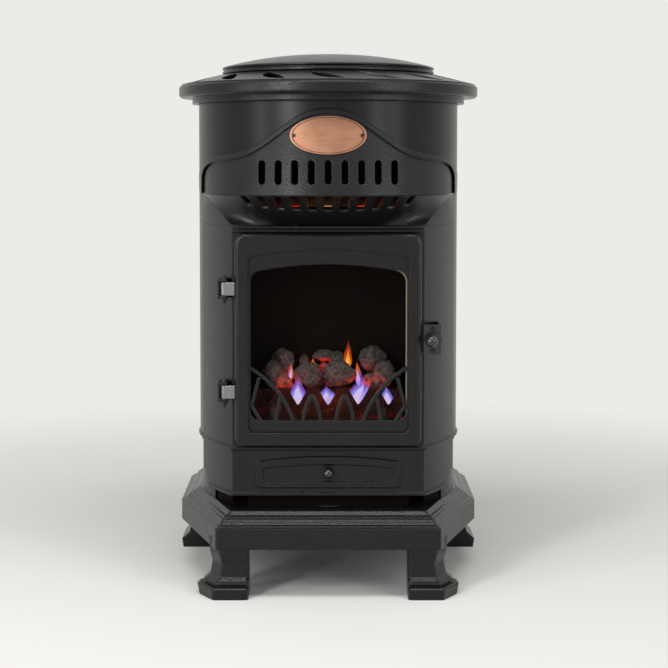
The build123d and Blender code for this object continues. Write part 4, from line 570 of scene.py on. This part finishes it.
def studio_paper():
    """Matt pale studio paper with barely seen clouds of fibre."""
    paper = bpy.context.scene.stove_colours.paper
    cloud = 333.0 * MM
    fade_from = 450.0 * MM
    fade_to = 1700.0 * MM
    material, tree, output, coords = new_material("matt_studio_paper")
    fibre = add_node(tree, "ShaderNodeTexNoise", values={"Scale": 1 / cloud, "Detail": 2.0},
                     links={"Vector": coords})
    tone = add_node(tree, "ShaderNodeMix", {"data_type": "RGBA"},
                    {"A": paper, "B": shade(paper, 0.985)}, {"Factor": fibre.outputs["Fac"]})
    shader = add_node(tree, "ShaderNodeBsdfPrincipled",
                      values={"Roughness": 0.95, "Specular IOR Level": 0.1},
                      links={"Base Color": tone.outputs["Result"]})
    # Far from the object the paper takes the backdrop's own tone, so no horizon shows.
    away = add_node(tree, "ShaderNodeVectorMath", {"operation": "LENGTH"},
                    links={0: coords})
    far = add_node(tree, "ShaderNodeMapRange", {"interpolation_type": "SMOOTHSTEP"},
                   {"From Min": fade_from, "From Max": fade_to},
                   {"Value": away.outputs["Value"]})
    seen = add_node(tree, "ShaderNodeMath", {"operation": "MULTIPLY"},
                    links={0: far.outputs["Result"], 1: seen_rays(tree)})
    backdrop = add_node(tree, "ShaderNodeEmission", values={"Color": paper, "Strength": 1.0})
    mixed = add_node(tree, "ShaderNodeMixShader",
                     links={"Fac": seen.outputs["Value"], 1: shader.outputs["BSDF"],
                            2: backdrop.outputs["Emission"]})
    tree.links.new(mixed.outputs["Shader"], output.inputs["Surface"])
    return material


def mesh_object(name, mesh, material):
    """Put a mesh with one material in the scene as a smooth object."""
    mesh.polygons.foreach_set("use_smooth", [True] * len(mesh.polygons))
    mesh.materials.append(material)
    piece = bpy.data.objects.new(name, mesh)
    bpy.context.scene.collection.objects.link(piece)
    return piece


def ceramic_piece(name, mesh, material):
    """Put a mesh in the scene as a piece of the fire, which stays with the cabinet."""
    piece = mesh_object(name, mesh, material)
    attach(piece, "root")
    return piece


def place_lamp(name, lamp, spot):
    """Put a lamp in the scene and return the object that holds it."""
    holder = bpy.data.objects.new(name, lamp)
    holder.location = spot
    bpy.context.scene.collection.objects.link(holder)
    return holder


def finish(names, material, round_by=0.0, segments=2):
    """Give these carried-over nodes their finish and, if asked, rounded edges."""
    for name in names:
        piece = nodes[name]
        piece.data.materials.clear()
        piece.data.materials.append(material)
        piece.data.polygons.foreach_set("use_smooth", [True] * len(piece.data.polygons))
        if round_by:
            edge = piece.modifiers.new("edge_round", "BEVEL")
            edge.width = round_by
            edge.segments = segments
            edge.limit_method = "ANGLE"
            edge.angle_limit = SHARP_ANGLE
            edge.use_clamp_overlap = True
            edge.harden_normals = True
        else:
            split = piece.modifiers.new("sharp_edges", "EDGE_SPLIT")
            split.split_angle = SHARP_ANGLE


class STOVE_OT_stage(bpy.types.Operator):
    """Lay the floor, light the studio and set the camera where the photograph was taken"""
    bl_idname = "stove.stage"
    bl_label = "Stage and camera"

    def execute(self, context):
        scene = context.scene
        self.lay_paper()
        self.light_air(scene)
        self.light_lamps()
        self.set_camera(scene)
        scene.view_settings.view_transform = "Standard"
        return {"FINISHED"}

    def lay_paper(self):
        half = 30.0
        mesh = bpy.data.meshes.new("studio_floor")
        mesh.from_pydata([(-half, -half, 0), (half, -half, 0), (half, half, 0),
                          (-half, half, 0)], [], [(0, 1, 2, 3)])
        floor = mesh_object("studio_floor", mesh, studio_paper())

    def light_air(self, scene):
        # The air lights the object softly, but is seen as the plain backdrop.
        air_light = 0.42
        air_seen = 1.0
        scene.world = bpy.data.worlds.new("studio_air")
        scene.world.use_nodes = True
        tree = scene.world.node_tree
        tree.nodes.clear()
        power = add_node(tree, "ShaderNodeMapRange",
                         values={"To Min": air_light, "To Max": air_seen},
                         links={"Value": seen_rays(tree)})
        back = add_node(tree, "ShaderNodeBackground",
                        values={"Color": scene.stove_colours.paper},
                        links={"Strength": power.outputs["Result"]})
        add_node(tree, "ShaderNodeOutputWorld", links={"Surface": back.outputs["Background"]})

    def light_lamps(self):
        # name, position, width, height, power, aimed at height, in metres and watts
        lamps = (
            ("key_softbox", (-1.5, -2.3, 1.35), 0.4, 1.6, 34.0, 0.50),
            ("fill_softbox", (1.9, -2.1, 1.25), 0.3, 1.6, 12.0, 0.45),
            ("left_strip", (-2.0, -1.25, 0.9), 0.16, 1.9, 9.0, 0.40),
            ("right_strip", (2.0, -1.25, 0.9), 0.12, 1.9, 6.0, 0.40),
            ("top_softbox", (0.0, -0.8, 2.4), 1.7, 0.6, 27.0, 0.40),
        )
        for name, spot, width, tall, watts, aim in lamps:
            lamp = bpy.data.lights.new(name, "AREA")
            lamp.shape = "RECTANGLE"
            lamp.size = width
            lamp.size_y = tall
            lamp.energy = watts
            look = Vector((0, 0, aim)) - Vector(spot)
            holder = place_lamp(name, lamp, spot)
            holder.rotation_euler = look.to_track_quat("-Z", "Y").to_euler()

    def set_camera(self, scene):
        view = scene.stove_camera
        camera_data = bpy.data.cameras.new("photo_camera")
        camera_data.lens = view.lens
        camera_data.sensor_width = 36.0
        camera_data.sensor_fit = "HORIZONTAL"
        camera_data.shift_x = view.shift_x
        camera_data.shift_y = view.shift_y
        camera_data.clip_start = 0.05
        camera_data.clip_end = 90.0
        camera = bpy.data.objects.new("photo_camera", camera_data)
        camera.location = (0, -view.distance, view.height)
        camera.rotation_euler = (math.pi / 2 - view.pitch, 0, 0)
        scene.collection.objects.link(camera)
        scene.camera = camera


class STOVE_OT_castings(bpy.types.Operator):
    """Paint the castings: base, surround, lower panel, hood, door, top ring and lid"""
    bl_idname = "stove.castings"
    bl_label = "Castings"

    def execute(self, context):
        sizes = context.scene.stove_sizes
        paint = stove_paint()
        finish(("base_casting", "surround_casting", "lower_panel", "hood_casting",
                "hood_grille", "top_rim", "pierced_ring", "lid"), paint, sizes.cast_round, 3)
        finish(("hinge_brackets", "lid_bracket", "rear_hinges"), paint, sizes.bracket_round)
        finish(("door_inset",), paint, sizes.fence_round, 4)
        # The straps stand out past the door's left edge, which lies just beyond the rope.
        door_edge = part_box("door_rope")[0][0] - 4.0 * MM
        finish(("door_frame",), stove_paint("stove_paint_with_ground_straps", door_edge),
               sizes.cast_round, 3)
        return {"FINISHED"}


class STOVE_OT_cabinet(bpy.types.Operator):
    """Paint the sheet steel cabinet, its bead, its rear door and its inner sheets"""
    bl_idname = "stove.cabinet"
    bl_label = "Cabinet"

    def execute(self, context):
        sizes = context.scene.stove_sizes
        finish(("jacket", "lower_drum", "trim_bead", "rear_door"), jacket_paint(),
               sizes.sheet_round)
        # The toe plate is a real sheet that closes the recess under the lower panel; its dark
        # finish there also serves as painted shade for that recess.
        finish(("floor_pan", "toe_plate", "firebox", "control_tray", "heat_shield"),
               heat_dulled_steel(), sizes.sheet_round)
        return {"FINISHED"}


class STOVE_OT_knobs(bpy.types.Operator):
    """Enamel the drawer's knob, the latch and the rear catch"""
    bl_idname = "stove.knobs"
    bl_label = "Knobs and latches"

    def execute(self, context):
        sizes = context.scene.stove_sizes
        finish(("drawer_knob", "latch_knob", "rear_catch", "latch_bracket"), knob_enamel(),
               sizes.knob_round)
        return {"FINISHED"}


class STOVE_OT_small_steel(bpy.types.Operator):
    """Finish the zinc plated pins, clips and pipe, and the blackened screws and hinge pins"""
    bl_idname = "stove.small_steel"
    bl_label = "Pins and screws"

    def execute(self, context):
        sizes = context.scene.stove_sizes
        colours = context.scene.stove_colours
        zinc = brushed_metal("zinc_plated_steel", colours.zinc, 0.34, 1.2 * MM, "X")
        finish(("glass_clips", "lid_pin", "gas_pipe", "rear_pins"), zinc, sizes.small_round)
        black = brushed_metal("blackened_steel", colours.black_steel, 0.36, 1.2 * MM, "X")
        finish(("plate_screws", "hinge_pins", "latch_screws"), black, sizes.small_round)
        return {"FINISHED"}


class STOVE_OT_burner(bpy.types.Operator):
    """Tint the burner, the pilot parts and the louvre bars as heat does"""
    bl_idname = "stove.burner"
    bl_label = "Burner and louvres"

    def execute(self, context):
        sizes = context.scene.stove_sizes
        colours = context.scene.stove_colours
        heated = brushed_metal("heat_tinted_stainless", colours.burner_steel, 0.45, 1.6 * MM, "X")
        finish(("burner_tray", "burner_bar", "pilot_parts"), heated, sizes.small_round)
        straw = brushed_metal("straw_tinted_stainless", colours.louvre, 0.45, 1.6 * MM, "X")
        finish(("louvre_rack",), straw, sizes.small_round)
        return {"FINISHED"}


class STOVE_OT_controls(bpy.types.Operator):
    """Finish the brass gas parts and the plastic knob and igniter"""
    bl_idname = "stove.controls"
    bl_label = "Gas controls"

    def execute(self, context):
        sizes = context.scene.stove_sizes
        colours = context.scene.stove_colours
        brass = brushed_metal("turned_brass", colours.brass, 0.3, 0.8 * MM, "Z")
        finish(("gas_valve", "gas_inlet", "valve_spindle"), brass, sizes.brass_round)
        finish(("control_knob", "igniter_body", "igniter_button"), moulded_plastic(),
               sizes.plastic_round, 3)
        return {"FINISHED"}


class STOVE_OT_name_plate(bpy.types.Operator):
    """Brush the bare oval copper plate on the hood"""
    bl_idname = "stove.name_plate"
    bl_label = "Copper plate"

    def execute(self, context):
        finish(("name_plate",), copper_sheet(), context.scene.stove_sizes.sheet_round)
        return {"FINISHED"}


class STOVE_OT_window(bpy.types.Operator):
    """Finish the window's glass, its gasket with painted shade and the door's rope"""
    bl_idname = "stove.window"
    bl_label = "Window and seals"

    def execute(self, context):
        finish(("door_glass",), stove_glass())
        finish(("door_rope",), rope_yarn("door_rope_of_glass_fibre", 0.0, 0.0))
        # Painted shade darkens the gasket except near the glass's right edge, by the shares given
        # here.
        finish(("glass_gasket",), rope_yarn("glass_fibre_gasket_with_painted_shade", 0.97, 0.25))
        return {"FINISHED"}


def coal_lump(shape, centre, radii, shelf_z, seed):
    """Add one coal to a bmesh: a lump with broken faces and a pitted skin, flat where it rests."""
    break_count = 9
    break_near, break_far = 0.74, 0.92
    least_facing = 0.2
    swell, big_relief, fine_relief = 1.02, 0.16, 0.085
    draw = random.Random(seed)
    breaks = []
    for cut in range(break_count):
        way = Vector([draw.uniform(-1, 1) for axis in range(3)]).normalized()
        breaks.append((way, draw.uniform(break_near, break_far)))
    made = bmesh.ops.create_icosphere(shape, subdivisions=5, radius=1.0)
    for vert in made["verts"]:
        way = vert.co.copy()
        reach = 1.0
        for normal, depth in breaks:
            facing = way.dot(normal)
            if facing > least_facing:
                reach = min(reach, depth / facing)
        # Each coal reads its own part of the noise: its place, roughness, step and octaves.
        offset = way + Vector((seed * 3.1, seed * 1.7, seed * 2.3))
        big = noise.fractal(offset * 1.7, 0.9, 2.0, 3)
        fine = noise.fractal(offset * 6.0, 0.7, 2.1, 5)
        reach *= swell + big_relief * big + fine_relief * fine
        vert.co = Vector(centre) + Vector([w * r * reach for w, r in zip(way, radii)])
        vert.co.z = max(vert.co.z, shelf_z)


def bed_place(x, behind, above):
    """A place in metres: x from the bed's middle, behind its front edge, above the shelf, mm."""
    low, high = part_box("coal_bed")
    shelf_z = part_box("coals")[0][2]
    return ((low[0] + high[0]) / 2 + x * MM, low[1] + behind * MM, shelf_z + above * MM)


class STOVE_OT_coals(bpy.types.Operator):
    """Model the ragged ceramic coals and finish the hot bed that they lie on"""
    bl_idname = "stove.coals"
    bl_label = "Coals"

    def execute(self, context):
        sizes = context.scene.stove_sizes
        colours = context.scene.stove_colours
        shelf_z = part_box("coals")[0][2]
        # x, behind the bed's front, height of the middle over the shelf, then half width,
        # half depth and half height, in millimetres
        lumps = (
            (-82.0, 28.0, 27.0, 14.0, 10.0, 16.0), (-66.0, 46.0, 42.0, 17.0, 12.0, 16.0),
            (-72.0, 36.0, 12.0, 21.0, 12.0, 15.0), (-30.0, 29.0, 23.0, 20.0, 11.0, 18.0),
            (17.0, 30.0, 25.0, 23.0, 12.0, 19.0), (-36.0, 40.0, 42.0, 7.0, 8.0, 8.0),
            (-7.0, 46.0, 48.0, 16.0, 11.0, 9.0), (12.0, 44.0, 44.0, 13.0, 10.0, 10.0),
            (-6.0, 46.0, 18.0, 24.0, 11.0, 18.0), (66.0, 46.0, 44.0, 20.0, 12.0, 18.0),
            (83.0, 29.0, 26.0, 15.0, 10.0, 18.0), (70.0, 36.0, 12.0, 21.0, 12.0, 15.0),
        )
        shape = bmesh.new()
        for seed, (x, behind, above, *halves) in enumerate(lumps, 1):
            coal_lump(shape, bed_place(x, behind, above), [half * MM for half in halves],
                      shelf_z, seed)
        mesh = bpy.data.meshes.new("ceramic_coals")
        shape.to_mesh(mesh)
        shape.free()
        ash = fired_ceramic("ash_grey_ceramic_fibre", colours.coal, colours.coal_pit_shade,
                            shelf_z, shelf_z + 36.0 * MM, 0.55)
        piece = ceramic_piece("ceramic_coals", mesh, ash)
        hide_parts("coals")
        hot = fired_ceramic("red_hot_ceramic_fibre", colours.bed, colours.bed_pit_shade,
                            shelf_z - 50.0 * MM, shelf_z + 10.0 * MM, 0.10)
        finish(("coal_bed",), hot, sizes.bed_round, 3)
        return {"FINISHED"}


def flame_leaf(points, faces, foot, tall, wide, deep, lean, seed):
    """Add one shell of a flame to the lists: a flattened leaf that leans and flickers."""
    around = 20
    rings = 16
    belly, sharpness = 0.62, 1.15
    flicker = 0.06
    narrowest = 0.02
    start = len(points)
    for ring in range(rings + 1):
        t = ring / rings
        swell = max(narrowest, math.sin(math.pi * t ** belly) ** sharpness)
        sway = lean * t * t + flicker * wide * noise.noise(Vector((seed, t * 3.0, 0.0)))
        for step in range(around):
            turn = 2 * math.pi * step / around
            points.append((foot[0] + sway + 0.5 * wide * swell * math.cos(turn),
                           foot[1] + 0.5 * deep * swell * math.sin(turn),
                           foot[2] + tall * t))
    for ring in range(rings):
        for step in range(around):
            a = start + ring * around + step
            b = start + ring * around + (step + 1) % around
            faces.append((a, b, b + around, a + around))
    faces.append(tuple(start + step for step in reversed(range(around))))
    faces.append(tuple(start + rings * around + step for step in range(around)))


def flame_shell(name, share, flames, depth, gas, first_seed):
    """Make one shell of a row of flames: each flame is a foot, a height, a width and a lean."""
    # An inner shell loses less of its height than of its width.
    height_share = share ** 0.6
    points, faces = [], []
    for seed, (foot, tall, wide, lean) in enumerate(flames, first_seed):
        flame_leaf(points, faces, foot, height_share * tall * MM, share * wide * MM,
                   share * depth, lean * MM, seed)
    mesh = bpy.data.meshes.new(name)
    mesh.from_pydata(points, [], faces)
    mesh.validate()
    ceramic_piece(name, mesh, gas)


class STOVE_OT_fire(bpy.types.Operator):
    """Model the gas flames and put the fire's own light behind the glass"""
    bl_idname = "stove.fire"
    bl_label = "Fire"

    def execute(self, context):
        self.light_low_flames()
        self.light_tongues()
        self.light_glow(context.scene)
        return {"FINISHED"}

    def light_low_flames(self):
        burner_slot = 7.5
        below_shelf = -19.0
        # x, height, width, lean, in millimetres
        flames = (
            (-45.0, 42.0, 23.0, 1.0), (-3.0, 27.0, 31.0, 0.0), (3.0, 20.0, 18.0, 4.0),
            (41.0, 43.0, 27.0, 11.0), (51.0, 32.0, 15.0, 8.0), (86.0, 27.0, 19.0, -2.0),
        )
        rows = [(bed_place(x, burner_slot, below_shelf), tall, wide, lean)
                for x, tall, wide, lean in flames]
        slot_z = rows[0][0][2]
        # name, share of the full size, colours at the foot, in the body and at the tip, cover
        shells = (
            ("outer_flames", 1.0, "#8A6FE6", "#7B74E8", "#B04AB8", 0.34),
            ("middle_flames", 0.78, "#D9B8C8", "#A9A2F4", "#8C7CF0", 0.38),
            ("inner_flames", 0.55, "#FFE9C4", "#F3E6FF", "#BFB2FF", 0.95),
        )
        for name, share, foot, body, tip, cover in shells:
            gas = flame_gas(name, foot, body, tip, slot_z, slot_z + 40.0 * MM, cover)
            flame_shell(name, share, rows, 9.0 * MM, gas, 0)

    def light_tongues(self):
        # x, behind the bed's front, foot over the shelf, height, width, lean, in millimetres
        tongues = (
            (29.0, 39.0, 30.0, 42.0, 12.0, 1.0), (-23.0, 38.0, 18.0, 28.0, 12.0, 1.0),
            (-56.0, 37.0, 12.0, 28.0, 9.0, 2.0), (45.0, 38.0, 4.0, 36.0, 11.0, -3.0),
        )
        rows = [(bed_place(x, behind, above), tall, wide, lean)
                for x, behind, above, tall, wide, lean in tongues]
        shelf_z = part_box("coals")[0][2]
        # name, share of the full size, colours at the foot, in the body and at the tip, cover
        shells = (
            ("outer_tongues", 1.0, "#6A3CB8", "#FF7A1E", "#E0461A", 0.35),
            ("inner_tongues", 0.55, "#D8B8FF", "#FFC04A", "#FF8A26", 0.85),
        )
        for name, share, foot, body, tip, cover in shells:
            gas = flame_gas(name, foot, body, tip, shelf_z + 8.0 * MM, shelf_z + 64.0 * MM,
                            cover)
            flame_shell(name, share, rows, 5.0 * MM, gas, 7)

    def light_glow(self, scene):
        glow_radius = 12.0 * MM
        rack_low, rack_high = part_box("louvre_rack")
        rack_x = (rack_low[0] + rack_high[0]) / 2
        hood_y = rack_low[1] - 3.2 * MM
        hood_z = (rack_low[2] + rack_high[2]) / 2 + 0.5 * MM
        # name, place, colour, power in watts
        glows = (
            ("fire_glow_middle", bed_place(-6.0, 38.0, 38.0), "#FF2A10", 0.05),
            ("fire_glow_left", bed_place(-52.0, 24.0, 12.0), "#FF3418", 0.04),
            ("fire_glow_right", bed_place(48.0, 24.0, 12.0), "#FF3418", 0.05),
            ("fire_glow_front", bed_place(0.0, -4.0, -3.0), "#FF5A30", 0.04),
            ("hood_glow_left", (rack_x - 46.0 * MM, hood_y, hood_z), "#FF2A0C", 0.008),
            ("hood_glow_middle", (rack_x, hood_y, hood_z), "#FFC28A", 0.008),
            ("hood_glow_right", (rack_x + 48.0 * MM, hood_y, hood_z), "#FF4A18", 0.008),
        )
        for name, spot, colour, watts in glows:
            lamp = bpy.data.lights.new(name, "POINT")
            lamp.energy = watts
            lamp.color = linear(colour)[:3]
            lamp.shadow_soft_size = glow_radius
            place_lamp(name, lamp, spot)


steps = (STOVE_OT_stage, STOVE_OT_castings, STOVE_OT_cabinet, STOVE_OT_knobs,
         STOVE_OT_small_steel, STOVE_OT_burner, STOVE_OT_controls, STOVE_OT_name_plate,
         STOVE_OT_window, STOVE_OT_coals, STOVE_OT_fire)


class STOVE_PT_panel(bpy.types.Panel):
    """Lists the steps that dress the stove"""
    bl_idname = "STOVE_PT_panel"
    bl_label = "Stove"
    bl_space_type = "VIEW_3D"
    bl_region_type = "UI"
    bl_category = "Stove"

    def draw(self, context):
        for step in steps:
            self.layout.operator(step.bl_idname)


classes = (StoveSizes, StoveColours, StoveCamera) + steps + (STOVE_PT_panel,)


def register():
    for item in classes:
        bpy.utils.register_class(item)
    bpy.types.Scene.stove_sizes = PointerProperty(type=StoveSizes)
    bpy.types.Scene.stove_colours = PointerProperty(type=StoveColours)
    bpy.types.Scene.stove_camera = PointerProperty(type=StoveCamera)


def unregister():
    del bpy.types.Scene.stove_camera
    del bpy.types.Scene.stove_colours
    del bpy.types.Scene.stove_sizes
    for item in reversed(classes):
        bpy.utils.unregister_class(item)


def main():
    """Register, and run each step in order."""
    register()
    bpy.ops.stove.stage()
    bpy.ops.stove.castings()
    bpy.ops.stove.cabinet()
    bpy.ops.stove.knobs()
    bpy.ops.stove.small_steel()
    bpy.ops.stove.burner()
    bpy.ops.stove.controls()
    bpy.ops.stove.name_plate()
    bpy.ops.stove.window()
    bpy.ops.stove.coals()
    bpy.ops.stove.fire()


if __name__ == "__main__":
    main()
